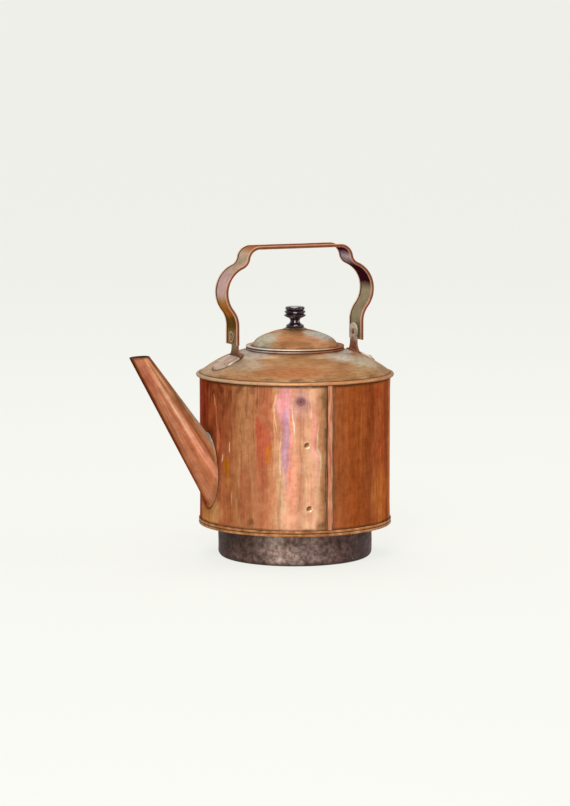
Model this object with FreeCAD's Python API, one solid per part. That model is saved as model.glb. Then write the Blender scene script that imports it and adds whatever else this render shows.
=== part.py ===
# A copper stove kettle with a stepped pit bottom, a lift-off lid and a swinging bail handle.
# Millimetres, +Z up. The origin is the centre of the pit pan's underside, the spout points
# along -X, and the bail swings about an axis parallel to X.

import FreeCAD
import Part
import math
import os

V = FreeCAD.Vector

# Clearances
seat_gap = 0.05  # between soldered or riveted faces
hole_gap = 0.05  # round a shank in its hole
swing_play = 0.15  # on each side of the strap, along the pivot
lid_gap = 0.3  # lid flange above the neck rim
sleeve_gap = 0.4  # lid sleeve inside the neck
cut_margin = 10.0  # how far a cutting shape reaches past what it cuts

# Drum, which the pit pan, the neck and the ears are set in from
drum_radius = 110.0
drum_wall = 1.2
side_height = 172.7  # bottom plate's underside to the middle of the top bead

# Pit pan, sized to drop into a stove hole
pit_inset = 21.1
pit_radius = drum_radius - pit_inset
pit_depth = 38.1
pit_wall = 1.4
pit_step = 0.6  # the wall is drawn in where it passes through the bottom plate
pit_corner = 6.0
pit_flange = 5.1

# Bottom plate with its folded rim
plate_thickness = 1.2
rim_height = 6.8
rim_root = 0.5  # rim sheet at the fold
rim_proud = 1.3  # the two folds outside the drum

# Strip over the drum's upright seam
seam_angle = -94.0
seam_width = 5.8
seam_edge = 0.5
seam_proud = 1.3

# Breast, the domed top of the body
dome_rise = 28.6  # from the middle of the top bead to the neck hole
dome_radius = 138.4  # of the sheet's middle surface
breast_wall = 1.2
bead_radius = 2.0
bead_wire = 0.95

# Neck collar that takes the lid
neck_inset = 59.0
neck_radius = drum_radius - neck_inset
neck_wall = 1.2
neck_depth = 12.4
neck_rim_width = 5.6
neck_rim_radius = 1.25
neck_rim_wire = 0.6

# Lid
lid_wall = 1.2
lid_overhang = 0.1
lid_rim_radius = 1.0
lid_rim_wire = 0.45
crown_inset = 1.6  # inside the neck
crown_radius = neck_radius - crown_inset
crown_height = 20.0
shoulder_radius = 16.0
shoulder_drop = 4.8
sleeve_wall = 1.0
sleeve_depth = 12.7

# Knob with its rosette, screw and washer
rosette_radius = 13.5
rosette_land = 10.4
rosette_thickness = 1.0
rosette_edge = 0.45
knob_foot_radius = 8.6
knob_base_radius = 10.0
knob_waist_radius = 6.0
knob_base_height = 4.2
knob_waist_height = 6.8
knob_lower_ring_radius = 12.4
knob_lower_ring_height = 4.6
knob_groove_radius = 9.6
knob_upper_ring_radius = 12.0
knob_upper_ring_height = 4.2
knob_cap_radius = 11.0
knob_cap_height = 3.6
knob_cap_crown = 1.2
screw_radius = 2.0
screw_reach = 15.0
screw_head_radius = 4.5
screw_head_height = 2.4
screw_slot = 1.0
knob_washer_radius = 7.0
knob_washer_thickness = 1.0

# Spout
spout_height = 110.3  # where its axis meets the drum
spout_tilt = 33.2  # from upright
spout_length = 153.4
spout_root_radius = 21.8
spout_tip_radius = 10.1
spout_wall = 1.2
spout_lip_tilt = 3.5
spout_flange_width = 1.6
spout_flange_thickness = 0.8
spout_runback = 64.0  # how far its cone is carried on inside the drum before it is cut

# Bail handle, a flat strap with a wired hem along both edges
pivot_inset = 31.5
pivot_half = drum_radius - pivot_inset  # from the middle to the strap's leg
strap_width = 33.0
strap_web = 1.5
hem_radius = 1.5
hem_wire = 0.85
leg_drop = 9.0  # strap below the pivot
leg_sweep = 28.0
bulge_radius = 31.5
bulge_out = 13.4  # beyond the leg
bulge_rise = 50.7  # above the pivot
shoulder_sweep = 12.7
shoulder_inset = 13.9  # inside the leg
shoulder_lean = 9.0  # inwards, where the grip corner starts
grip_corner = 14.0

# Ears that carry the bail
ear_height = 23.8  # from the breast to the pivot
ear_thickness = 2.4
ear_head = 10.0
ear_neck = 8.2
ear_flare = 12.0
ear_spread = 13.0
foot_thickness = 2.0
foot_long = 17.5
foot_wide = 16.5
foot_shift = 9.0  # outwards from the ear
foot_rivet_out = 6.0
foot_rivet_side = 10.5

# Rivets and washers
rivet_radius = 1.9
rivet_head_radius = 3.2
rivet_head_height = 1.4
rivet_tail_radius = 2.7
rivet_tail_height = 0.9
burr_radius = 4.2
burr_thickness = 1.0
pivot_radius = 2.3
pivot_head_radius = 3.4
pivot_head_height = 1.5
spacer_radius = 5.5
spacer_thickness = 1.1
cap_washer_radius = 6.3
cap_washer_thickness = 1.0

# Heights and radii that follow from the sizes above
plate_top = pit_depth + plate_thickness
pit_waist = pit_radius - pit_step
bead_ring = drum_radius + bead_radius + seat_gap
bead_height = pit_depth + side_height
neck_outer = neck_radius + neck_wall
neck_hole = neck_outer + seat_gap
breast_outer = dome_radius + breast_wall / 2
breast_inner = dome_radius - breast_wall / 2


def rz(radius, height):
    return V(radius, 0, height)


def line(start, end):
    return Part.LineSegment(start, end).toShape()


def arc(start, middle, end):
    return Part.Arc(start, middle, end).toShape()


def arc_about(centre, radius, start, end):
    # Arc in the XZ plane about a centre, between two points at the same radius from it.
    middle = (start + end) * 0.5 - centre
    middle.normalize()
    return arc(start, centre + middle * radius, end)


def face(*edges):
    return Part.Face(Part.Wire(list(edges)))


def polygon(*points):
    return Part.Face(Part.makePolygon(list(points) + [points[0]]))


def disc(centre, radius, normal):
    return Part.Face(Part.Wire(Part.makeCircle(radius, centre, normal)))


def joined(first, *others):
    return first.multiFuse(list(others)).removeSplitter()


def ring(section):
    return section.revolve(V(0, 0, 0), V(0, 0, 1), 360)


def rolled(sheet, centres, radius, wire, normal):
    # A sheet's section joined to round beads, each left hollow for the wire inside it.
    beads = [disc(centre, radius, normal) for centre in centres]
    hollows = [disc(centre, wire + hole_gap, normal) for centre in centres]
    return joined(sheet, *beads).cut(Part.makeCompound(hollows)).Faces[0]


def wire_ring(radius, height, wire_radius):
    return Part.makeTorus(radius, wire_radius, V(0, 0, height), V(0, 0, 1))


def along(direction, start, turned):
    # Stands a shape that was turned about Z on a start point, with Z along the direction.
    placed = turned.copy()
    placed.Placement = FreeCAD.Placement(start, FreeCAD.Rotation(V(0, 0, 1), direction))
    return placed


def mirrored(shape):
    return shape.mirror(V(0, 0, 0), V(1, 0, 0))


def both_sides(shape):
    return Part.makeCompound([shape, mirrored(shape)])


def dome_centre():
    # Centre of the breast's arc, which passes the top bead and the edge of the neck hole.
    outer = rz(bead_ring, bead_height)
    inner = rz(neck_hole, bead_height + dome_rise)
    chord = inner - outer
    half = chord.Length / 2
    square = V(chord.z, 0, -chord.x)
    square.normalize()
    return (outer + inner) * 0.5 - square * math.sqrt(dome_radius ** 2 - half ** 2)


dome = dome_centre()


def dome_top(radius, lift):
    # Height of the breast's outer surface, raised by a lift along its normal.
    return dome.z + math.sqrt((breast_outer + lift) ** 2 - (radius - dome.x) ** 2)


def breast_point(radius, surface):
    return rz(radius, dome.z + math.sqrt(surface ** 2 - (radius - dome.x) ** 2))


def under_dome(lift):
    # Solid below the breast's outer surface, between the neck hole and the top bead.
    low = bead_height - bead_radius
    inner = rz(neck_radius, dome_top(neck_radius, lift))
    outer = rz(bead_ring, dome_top(bead_ring, lift))
    top = arc_about(dome, breast_outer + lift, inner, outer)
    return ring(face(
        top,
        line(outer, rz(bead_ring, low)),
        line(rz(bead_ring, low), rz(neck_radius, low)),
        line(rz(neck_radius, low), inner),
    ))


neck_rim_ring = neck_radius + neck_rim_width - neck_rim_radius
neck_rim_height = dome_top(neck_rim_ring, neck_rim_radius + seat_gap)
neck_top = neck_rim_height + neck_rim_radius
lid_under = neck_top + lid_gap
lid_top = lid_under + lid_wall
lid_rim_ring = neck_rim_ring + neck_rim_radius + lid_overhang - lid_rim_radius
sleeve_outer = neck_radius - sleeve_gap

# The lid's crown is one arc on the axis that runs into a smaller shoulder arc.
shoulder_ring = crown_radius - math.sqrt(shoulder_radius ** 2 - shoulder_drop ** 2)
crown_reach = crown_height + shoulder_drop
crown_span = shoulder_ring ** 2 + crown_reach ** 2 - shoulder_radius ** 2
crown_arc = crown_span / (2 * (crown_reach - shoulder_radius))
shoulder = rz(shoulder_ring, lid_top - shoulder_drop)
crown = rz(0, lid_top + crown_height - crown_arc)
apex = lid_top + crown_height

knob_seat = apex + rosette_thickness
washer_top = crown.z + math.sqrt((crown_arc - lid_wall) ** 2 - knob_washer_radius ** 2) - seat_gap

strap_inner = pivot_half - strap_web / 2
strap_outer = pivot_half + strap_web / 2
cap_washer_start = strap_outer + swing_play
ear_outer = strap_inner - swing_play - spacer_thickness
ear_inner = ear_outer - ear_thickness
ear_middle = (ear_inner + ear_outer) / 2
pivot_height = dome_top(ear_middle, 0) + ear_height
foot_middle = ear_middle + foot_shift
hem_ring = strap_width / 2 - hem_radius

spout_axis = V(-math.sin(math.radians(spout_tilt)), 0, math.cos(math.radians(spout_tilt)))
spout_root = V(-drum_radius, 0, spout_height)
spout_tip = spout_root + spout_axis * spout_length


def pit_pan():
    # A round pan stepped in under the bottom plate and flanged over it.
    inner = pit_radius - pit_wall
    flat = pit_radius - pit_corner
    edge = pit_radius + pit_flange
    top = plate_top + plate_thickness
    corner = rz(flat, pit_corner)
    step = pit_depth - seat_gap
    return ring(face(
        line(rz(0, 0), rz(flat, 0)),
        arc_about(corner, pit_corner, rz(flat, 0), rz(pit_radius, pit_corner)),
        line(rz(pit_radius, pit_corner), rz(pit_radius, step)),
        line(rz(pit_radius, step), rz(pit_waist, step)),
        line(rz(pit_waist, step), rz(pit_waist, plate_top)),
        line(rz(pit_waist, plate_top), rz(edge, plate_top)),
        line(rz(edge, plate_top), rz(edge, top)),
        line(rz(edge, top), rz(inner, top)),
        line(rz(inner, top), rz(inner, pit_corner)),
        arc_about(corner, pit_corner - pit_wall, rz(inner, pit_corner), rz(flat, pit_wall)),
        line(rz(flat, pit_wall), rz(0, pit_wall)),
        line(rz(0, pit_wall), rz(0, 0)),
    ))


def bottom_plate():
    # A flat ring round the pit pan whose edge is folded up outside the drum in two soft folds.
    hole = pit_waist + seat_gap
    inner = drum_radius + seat_gap
    root = inner + rim_root
    crest = drum_radius + rim_proud
    low = pit_depth
    middle = low + rim_height / 2
    high = low + rim_height
    return ring(face(
        line(rz(hole, low), rz(root, low)),
        arc(rz(root, low), rz(crest, (low + middle) / 2), rz(root, middle)),
        arc(rz(root, middle), rz(crest, (middle + high) / 2), rz(root, high)),
        line(rz(root, high), rz(inner, high)),
        line(rz(inner, high), rz(inner, plate_top)),
        line(rz(inner, plate_top), rz(hole, plate_top)),
        line(rz(hole, plate_top), rz(hole, low)),
    ))


def spout_cone(grow):
    # The spout's outer cone grown by a margin, from inside the drum to past the lip.
    slope = (spout_tip_radius - spout_root_radius) / spout_length
    ahead = spout_tip_radius + cut_margin
    base = spout_root_radius - slope * spout_runback + grow
    tip = spout_tip_radius + slope * ahead + grow
    start = spout_root - spout_axis * spout_runback
    return Part.makeCone(base, tip, spout_runback + spout_length + ahead, start, spout_axis)


def body_drum():
    inner = drum_radius - drum_wall
    top = breast_point(drum_radius, breast_inner).z - seat_gap
    wall = polygon(rz(inner, plate_top), rz(drum_radius, plate_top), rz(drum_radius, top), rz(inner, top))
    return ring(wall).cut(spout_cone(-spout_wall))


def side_seam_strip():
    # A raised strip with a softly domed face, from the folded rim up to the top bead.
    low = pit_depth + rim_height + seat_gap
    high = bead_height - bead_radius - seat_gap
    half = seam_width / 2
    root = drum_radius + seat_gap
    edge = math.sqrt(root ** 2 - half ** 2)
    shoulder_x = edge + seam_edge
    section = face(
        arc(V(edge, -half, low), V(root, 0, low), V(edge, half, low)),
        line(V(edge, half, low), V(shoulder_x, half, low)),
        arc(V(shoulder_x, half, low), V(root + seam_proud, 0, low), V(shoulder_x, -half, low)),
        line(V(shoulder_x, -half, low), V(edge, -half, low)),
    )
    return section.extrude(V(0, 0, high - low)).rotated(V(0, 0, 0), V(0, 0, 1), seam_angle)


def breast():
    # Domed sheet from the neck hole to a bead rolled round a wire, with holes for the ear rivets.
    edge = bead_ring - (bead_radius + bead_wire) / 2
    top = breast_point(neck_hole, breast_outer)
    top_end = breast_point(edge, breast_outer)
    under = breast_point(neck_hole, breast_inner)
    under_end = breast_point(edge, breast_inner)
    sheet = face(
        arc_about(dome, breast_outer, top, top_end),
        line(top_end, under_end),
        arc_about(dome, breast_inner, under_end, under),
        line(under, top),
    )
    bead = rz(bead_ring, bead_height)
    shell = ring(rolled(sheet, [bead], bead_radius, bead_wire, V(0, 1, 0)))
    return shell.cut(Part.makeCompound(foot_rivet_holes()))


def neck_collar():
    # A tube through the breast with an out-turned rim, rolled over at its edge.
    low = neck_top - neck_depth
    flange_low = neck_top - neck_wall
    sheet = polygon(
        rz(neck_radius, low), rz(neck_radius, neck_top), rz(neck_rim_ring, neck_top),
        rz(neck_rim_ring, flange_low), rz(neck_outer, flange_low), rz(neck_outer, low),
    )
    bead = rz(neck_rim_ring, neck_rim_height)
    return ring(rolled(sheet, [bead], neck_rim_radius, neck_rim_wire, V(0, 1, 0)))


def lid_cover():
    # Domed sheet with a flat flange rolled up at its edge, and a hole for the knob's screw.
    toward = shoulder - crown
    toward.normalize()
    turn = crown + toward * crown_arc
    turn_in = crown + toward * (crown_arc - lid_wall)
    base = rz(crown_radius, lid_top)
    shoulder_in = shoulder_radius - lid_wall
    base_in = rz(shoulder_ring + math.sqrt(shoulder_in ** 2 - (shoulder.z - lid_under) ** 2), lid_under)
    peak = rz(0, apex)
    peak_in = rz(0, apex - lid_wall)
    sheet = face(
        arc_about(crown, crown_arc, peak, turn),
        arc_about(shoulder, shoulder_radius, turn, base),
        line(base, rz(lid_rim_ring, lid_top)),
        line(rz(lid_rim_ring, lid_top), rz(lid_rim_ring, lid_under)),
        line(rz(lid_rim_ring, lid_under), base_in),
        arc_about(shoulder, shoulder_in, base_in, turn_in),
        arc_about(crown, crown_arc - lid_wall, turn_in, peak_in),
        line(peak_in, peak),
    )
    bead = rz(lid_rim_ring, lid_under + lid_rim_radius)
    return ring(rolled(sheet, [bead], lid_rim_radius, lid_rim_wire, V(0, 1, 0))).cut(screw_hole())


def lid_sleeve():
    inner = sleeve_outer - sleeve_wall
    low = lid_under - sleeve_depth
    outer = sleeve_outer
    return ring(polygon(rz(inner, low), rz(outer, low), rz(outer, lid_under), rz(inner, lid_under)))


def screw_hole():
    low = washer_top - knob_washer_thickness - screw_head_height
    height = knob_seat + screw_reach + hole_gap - low
    return Part.makeCylinder(screw_radius + hole_gap, height, V(0, 0, low))


def knob_rosette():
    # A thin disc shaped to the crown below, flat under the knob and bevelled to its edge.
    under = crown_arc + seat_gap
    edge_low = rz(rosette_radius, crown.z + math.sqrt(under ** 2 - rosette_radius ** 2))
    edge_high = edge_low + V(0, 0, rosette_edge)
    peak = rz(0, crown.z + under)
    section = face(
        arc_about(crown, under, peak, edge_low),
        line(edge_low, edge_high),
        line(edge_high, rz(rosette_land, knob_seat)),
        line(rz(rosette_land, knob_seat), rz(0, knob_seat)),
        line(rz(0, knob_seat), peak),
    )
    return ring(section).cut(screw_hole())


def knob():
    # A turned knob: rounded base, hollow waist, two sharp rings and a low domed cap.
    foot = rz(knob_foot_radius, knob_seat)
    turnings = [
        (knob_base_height, knob_base_radius, knob_foot_radius),
        (knob_waist_height, knob_waist_radius, knob_foot_radius),
        (knob_lower_ring_height, knob_lower_ring_radius, knob_groove_radius),
        (knob_upper_ring_height, knob_upper_ring_radius, knob_groove_radius),
        (knob_cap_height, knob_cap_radius, knob_groove_radius),
    ]
    edges = [line(rz(0, knob_seat), foot)]
    point = foot
    for height, crest, neck in turnings:
        end = rz(neck, point.z + height)
        edges.append(arc(point, rz(crest, point.z + height / 2), end))
        point = end
    top = rz(0, point.z + knob_cap_crown)
    dome_arc = (knob_groove_radius ** 2 + knob_cap_crown ** 2) / (2 * knob_cap_crown)
    edges.append(arc_about(top - V(0, 0, dome_arc), dome_arc, point, top))
    edges.append(line(top, rz(0, knob_seat)))
    return ring(face(*edges)).cut(screw_hole())


def knob_washer():
    low = washer_top - knob_washer_thickness
    plain = Part.makeCylinder(knob_washer_radius, knob_washer_thickness, V(0, 0, low))
    return plain.cut(screw_hole())


def knob_screw():
    # A slotted screw driven up into the knob from inside the lid.
    head_top = washer_top - knob_washer_thickness
    head_low = head_top - screw_head_height
    shank_top = knob_seat + screw_reach
    section = polygon(
        rz(0, head_low), rz(screw_head_radius, head_low), rz(screw_head_radius, head_top),
        rz(screw_radius, head_top), rz(screw_radius, shank_top), rz(0, shank_top),
    )
    corner = V(-screw_head_radius, -screw_slot / 2, head_low)
    slot = Part.makeBox(2 * screw_head_radius, screw_slot, screw_slot, corner)
    return ring(section).cut(slot)


def spout():
    # A tapered tube cut to the drum at its root, nearly level at its lip, on a thin root flange.
    drum = Part.makeCylinder(drum_radius + seat_gap, bead_height)
    flange_skin = Part.makeCylinder(drum_radius + spout_flange_thickness, bead_height)
    bore = spout_cone(-spout_wall)
    size = spout_length
    above = Part.makeBox(size, size, size, V(-size / 2, -size / 2, 0))
    above.rotate(V(0, 0, 0), V(0, 1, 0), -spout_lip_tilt)
    above.translate(spout_tip)
    tube = spout_cone(0).cut(drum).cut(above)
    flange = spout_cone(spout_flange_width).common(flange_skin).cut(drum)
    return joined(tube, flange).cut(bore)


def strap_sweep(section):
    # Carries a section up one leg of the bail and along half the grip, then mirrors it.
    side = V(0, 1, 0)
    reach = leg_sweep + bulge_radius
    rise = math.sqrt(reach ** 2 - (reach - bulge_out) ** 2)
    lean = math.degrees(math.acos((reach - bulge_out) / reach))
    inward = shoulder_sweep + bulge_radius
    inset = shoulder_inset + bulge_out
    climb = math.sqrt(inward ** 2 - (inward - inset) ** 2)
    fold = math.degrees(math.acos((inward - inset) / inward))
    bulge = V(pivot_half + bulge_out - bulge_radius, 0, pivot_height + bulge_rise)
    leg_top = bulge.z - rise
    hollow = V(pivot_half - shoulder_inset + shoulder_sweep, 0, bulge.z + climb)
    tuck = math.radians(shoulder_lean)
    corner = hollow - V(math.cos(tuck), 0, math.sin(tuck)) * (shoulder_sweep + grip_corner)
    leg = V(0, 0, leg_top - pivot_height + leg_drop)
    turns = [
        (V(pivot_half + leg_sweep, 0, leg_top), lean),
        (bulge, -lean - fold),
        (hollow, fold - shoulder_lean),
        (corner, shoulder_lean - 90),
    ]
    pieces = [section.extrude(leg)]
    section = section.translated(leg)
    for centre, angle in turns:
        pieces.append(section.revolve(centre, side, angle))
        section = section.rotated(centre, side, angle)
    pieces.append(section.extrude(V(-corner.x, 0, 0)))
    half = joined(*pieces)
    return joined(half, mirrored(half))


def strap_foot(across):
    return V(pivot_half, across, pivot_height - leg_drop)


def bail_strap():
    # A flat web between two hems rolled round wires, with a pivot hole in each leg.
    web_edge = hem_ring - (hem_radius + hem_wire) / 2
    half = V(strap_web / 2, 0, 0)
    web = polygon(
        strap_foot(-web_edge) - half, strap_foot(-web_edge) + half,
        strap_foot(web_edge) + half, strap_foot(web_edge) - half,
    )
    hems = [strap_foot(-hem_ring), strap_foot(hem_ring)]
    strap = strap_sweep(rolled(web, hems, hem_radius, hem_wire, V(0, 0, 1)))
    end = strap_outer + cut_margin
    return strap.cut(pivot_bore(-end, end))


def pivot_bore(start, end):
    return Part.makeCylinder(pivot_radius + hole_gap, end - start, V(start, 0, pivot_height), V(1, 0, 0))


def bail_wire(across):
    return strap_sweep(disc(strap_foot(across), hem_wire, V(0, 0, 1)))


def pivot_turned(section):
    # Places a section turned about Z on the pivot of the +X ear, with its Z along X.
    return along(V(1, 0, 0), V(0, 0, pivot_height), ring(section))


def pivot_rivet():
    outer = cap_washer_start + cap_washer_thickness
    return pivot_turned(face(
        arc_head(ear_inner, -1),
        line(rz(pivot_head_radius, ear_inner), rz(pivot_radius, ear_inner)),
        line(rz(pivot_radius, ear_inner), rz(pivot_radius, outer)),
        line(rz(pivot_radius, outer), rz(pivot_head_radius, outer)),
        arc_head(outer, 1),
        line(rz(0, outer + pivot_head_height), rz(0, ear_inner - pivot_head_height)),
    ))


def arc_head(seat, way):
    # Half section of a domed pivot head on its seat.
    dome_arc = (pivot_head_radius ** 2 + pivot_head_height ** 2) / (2 * pivot_head_height)
    peak = rz(0, seat + way * pivot_head_height)
    return arc_about(peak - V(0, 0, way * dome_arc), dome_arc, rz(pivot_head_radius, seat), peak)


def pivot_washer(radius, start, thickness):
    hole = pivot_radius + hole_gap
    end = start + thickness
    return pivot_turned(polygon(rz(hole, start), rz(radius, start), rz(radius, end), rz(hole, end)))


def ear():
    # An upright lug with a round head and flared root on an oval foot bent to the breast.
    x = ear_inner
    low = dome_top(foot_middle + foot_wide, 0)
    flare_angle = math.acos(1 - (ear_spread - ear_neck) / ear_flare)
    foot_top = dome_top(ear_middle, foot_thickness)
    neck_low = foot_top + ear_flare * math.sin(flare_angle)
    head_low = pivot_height - math.sqrt(ear_head ** 2 - ear_neck ** 2)
    half_flare = flare_angle / 2
    flare_y = ear_neck + ear_flare * (1 - math.cos(half_flare))
    flare_z = neck_low - ear_flare * math.sin(half_flare)
    outline = face(
        line(V(x, -ear_spread, low), V(x, ear_spread, low)),
        line(V(x, ear_spread, low), V(x, ear_spread, foot_top)),
        arc(V(x, ear_spread, foot_top), V(x, flare_y, flare_z), V(x, ear_neck, neck_low)),
        line(V(x, ear_neck, neck_low), V(x, ear_neck, head_low)),
        arc(V(x, ear_neck, head_low), V(x, 0, pivot_height + ear_head), V(x, -ear_neck, head_low)),
        line(V(x, -ear_neck, head_low), V(x, -ear_neck, neck_low)),
        arc(V(x, -ear_neck, neck_low), V(x, -flare_y, flare_z), V(x, -ear_spread, foot_top)),
        line(V(x, -ear_spread, foot_top), V(x, -ear_spread, low)),
    )
    lug = outline.extrude(V(ear_thickness, 0, 0))
    middle = V(foot_middle, 0, low)
    oval = Part.Ellipse(middle + V(0, foot_long, 0), middle + V(foot_wide, 0, 0), middle)
    column = Part.Face(Part.Wire(oval.toShape())).extrude(V(0, 0, ear_height))
    foot = column.common(under_dome(seat_gap + foot_thickness))
    bore = pivot_bore(ear_inner - cut_margin, ear_outer + cut_margin)
    cuts = [under_dome(seat_gap), bore] + foot_rivet_holes()
    return joined(lug, foot).cut(Part.makeCompound(cuts))


def foot_rivet_seats():
    # Points on the breast under each ear's rivets, with the breast's normal there.
    seats = []
    for side in (1, -1):
        for across in (-foot_rivet_side, foot_rivet_side):
            x = side * (foot_middle + foot_rivet_out)
            radius = math.hypot(x, across)
            outward = V(x / radius, across / radius, 0)
            normal = outward * (radius - dome.x) + V(0, 0, dome_top(radius, 0) - dome.z)
            normal.normalize()
            seats.append((V(x, across, dome_top(radius, 0)), normal))
    return seats


def foot_rivet_holes():
    radius = rivet_radius + hole_gap
    length = 2 * cut_margin
    return [Part.makeCylinder(radius, length, p - n * cut_margin, n) for p, n in foot_rivet_seats()]


burr_top = -breast_wall - 2 * seat_gap
burr_low = burr_top - burr_thickness


def foot_rivet():
    # A rivet about Z, with Z = 0 on the outside of the breast.
    head = foot_thickness + 2 * seat_gap
    dome_arc = (rivet_head_radius ** 2 + rivet_head_height ** 2) / (2 * rivet_head_height)
    peak = rz(0, head + rivet_head_height)
    tail = burr_low - rivet_tail_height
    return ring(face(
        line(rz(0, tail), rz(rivet_tail_radius, tail)),
        line(rz(rivet_tail_radius, tail), rz(rivet_tail_radius, burr_low)),
        line(rz(rivet_tail_radius, burr_low), rz(rivet_radius, burr_low)),
        line(rz(rivet_radius, burr_low), rz(rivet_radius, head)),
        line(rz(rivet_radius, head), rz(rivet_head_radius, head)),
        arc_about(peak - V(0, 0, dome_arc), dome_arc, rz(rivet_head_radius, head), peak),
        line(peak, rz(0, tail)),
    ))


def burr():
    hole = rivet_radius + hole_gap
    edge = burr_radius
    return ring(polygon(rz(hole, burr_low), rz(edge, burr_low), rz(edge, burr_top), rz(hole, burr_top)))


def at_seats(shape, seats):
    return Part.makeCompound([along(normal, point, shape) for point, normal in seats])


right_seats = foot_rivet_seats()[:2]
left_seats = foot_rivet_seats()[2:]
right_ear = ear()
right_pivot = pivot_rivet()
spacer = pivot_washer(spacer_radius, ear_outer, spacer_thickness)
cap_washer = pivot_washer(cap_washer_radius, cap_washer_start, cap_washer_thickness)

nodes = {
    "pit_pan": pit_pan(),
    "bottom_plate": bottom_plate(),
    "body_drum": body_drum(),
    "side_seam_strip": side_seam_strip(),
    "breast": breast(),
    "top_rim_wire": wire_ring(bead_ring, bead_height, bead_wire),
    "neck_collar": neck_collar(),
    "neck_rim_wire": wire_ring(neck_rim_ring, neck_rim_height, neck_rim_wire),
    "spout": spout(),
    "ear_front": mirrored(right_ear),
    "ear_rear": right_ear,
    "ear_rivets_front": at_seats(foot_rivet(), left_seats),
    "ear_rivets_rear": at_seats(foot_rivet(), right_seats),
    "ear_rivet_burrs": at_seats(burr(), left_seats + right_seats),
    "pivot_rivet_front": mirrored(right_pivot),
    "pivot_rivet_rear": right_pivot,
    "pivot_spacers": both_sides(spacer),
    "pivot_cap_washers": both_sides(cap_washer),
    "bail_strap": bail_strap(),
    "bail_wire_left": bail_wire(-hem_ring),
    "bail_wire_right": bail_wire(hem_ring),
    "lid_cover": lid_cover(),
    "lid_rim_wire": wire_ring(lid_rim_ring, lid_under + lid_rim_radius, lid_rim_wire),
    "lid_sleeve": lid_sleeve(),
    "knob_rosette": knob_rosette(),
    "knob": knob(),
    "knob_washer": knob_washer(),
    "knob_screw": knob_screw(),
}

os.makedirs("parts", exist_ok=True)
for name, shape in nodes.items():
    shape.exportStep("parts/" + name + ".step")
    box = shape.BoundBox
    print(name, len(shape.Solids), shape.isValid(), round(shape.Volume, 1),
          [round(v, 2) for v in (box.XMin, box.XMax, box.YMin, box.YMax, box.ZMin, box.ZMax)])
print("pivot height", round(pivot_height, 3), "neck top", round(neck_top, 3), "knob seat", round(knob_seat, 3))
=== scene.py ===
import math
import bmesh
import bpy
import numpy as np
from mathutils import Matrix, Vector


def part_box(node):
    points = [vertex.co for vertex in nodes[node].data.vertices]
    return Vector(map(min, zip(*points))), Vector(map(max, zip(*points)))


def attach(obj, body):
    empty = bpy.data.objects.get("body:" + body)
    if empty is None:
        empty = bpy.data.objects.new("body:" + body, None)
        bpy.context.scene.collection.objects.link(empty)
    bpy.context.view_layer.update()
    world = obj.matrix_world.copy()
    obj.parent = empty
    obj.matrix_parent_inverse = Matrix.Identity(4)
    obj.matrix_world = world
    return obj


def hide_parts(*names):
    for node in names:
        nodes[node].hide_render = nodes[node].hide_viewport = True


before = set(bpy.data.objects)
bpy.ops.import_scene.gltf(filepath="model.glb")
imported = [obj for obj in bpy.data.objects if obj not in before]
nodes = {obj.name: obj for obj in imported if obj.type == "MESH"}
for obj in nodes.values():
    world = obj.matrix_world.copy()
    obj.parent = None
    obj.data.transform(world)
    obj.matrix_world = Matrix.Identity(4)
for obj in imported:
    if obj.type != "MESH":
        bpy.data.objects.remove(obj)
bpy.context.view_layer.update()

scene = bpy.context.scene
scene.view_settings.view_transform = "Standard"
mm = 0.001


def levels(node):
    # heights of a node's lowest and highest points, in mm
    return (np.array(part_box(node)) / mm)[:, 2].tolist()


# Camera, left of the front and a little above the kettle

eye = {"azimuth": 25.0, "distance": 3.6, "height": 0.622, "aimHeight": 0.1765, "aimAside": -0.0115,
       "focal": 3144.0, "photoTall": 806}

swing = math.radians(eye["azimuth"])
back, aside = eye["distance"], eye["aimAside"]
camera = bpy.data.objects.new("photoCamera", bpy.data.cameras.new("photoCamera"))
camera.data.sensor_width = 36.0
camera.data.lens = eye["focal"] * 36.0 / eye["photoTall"]
camera.data.clip_end = 200.0
stand = Vector((-math.sin(swing) * back, -math.cos(swing) * back, eye["height"]))
aim = Vector((math.cos(swing) * aside, -math.sin(swing) * aside, eye["aimHeight"]))
camera.location = stand
camera.rotation_euler = (aim - stand).to_track_quat("-Z", "Y").to_euler()
scene.collection.objects.link(camera)
scene.camera = camera
print("camera lens", round(camera.data.lens, 1))


# Finishes

def paint(code):
    # sRGB hex to linear
    c = np.array([int(code[k:k + 2], 16) for k in (1, 3, 5)]) / 255
    linear = np.where(c <= 0.04045, c / 12.92, ((c + 0.055) / 1.055) ** 2.4)
    return (*linear.tolist(), 1.0)


def outlet(source):
    # the socket that a link starts from: of a (node, output), or the one that such a node is used for here
    if isinstance(source, tuple):
        return source[0].outputs[source[1]]
    usual = {"ShaderNodeMix": 2, "ShaderNodeAttribute": "Fac", "ShaderNodeTexCoord": "Object"}
    isLength = getattr(source, "operation", "") == "LENGTH"
    return source.outputs["Value" if isLength else usual.get(source.bl_idname, 0)]


def addNode(tree, kind, inputs=None, stops=None, **props):
    # one node with its properties, its inputs (a value, a colour code or the source of a link) and ramp stops
    made = tree.nodes.new("ShaderNode" + kind)
    if kind == "Mix":
        made.data_type = "RGBA"  # every mix here is of colours
    for key, value in props.items():
        setattr(made, key, value)
    for key, given in (inputs or {}).items():
        source = given[0] if isinstance(given, tuple) else given
        if isinstance(source, bpy.types.Node):
            tree.links.new(outlet(given), made.inputs[key])
        else:
            made.inputs[key].default_value = paint(given) if isinstance(given, str) else given
    for k, (spot, code) in enumerate(stops or []):
        marks = made.color_ramp.elements
        mark = marks[k] if k < 2 else marks.new(spot)
        mark.position = spot
        mark.color = paint(code)
    return made


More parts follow.
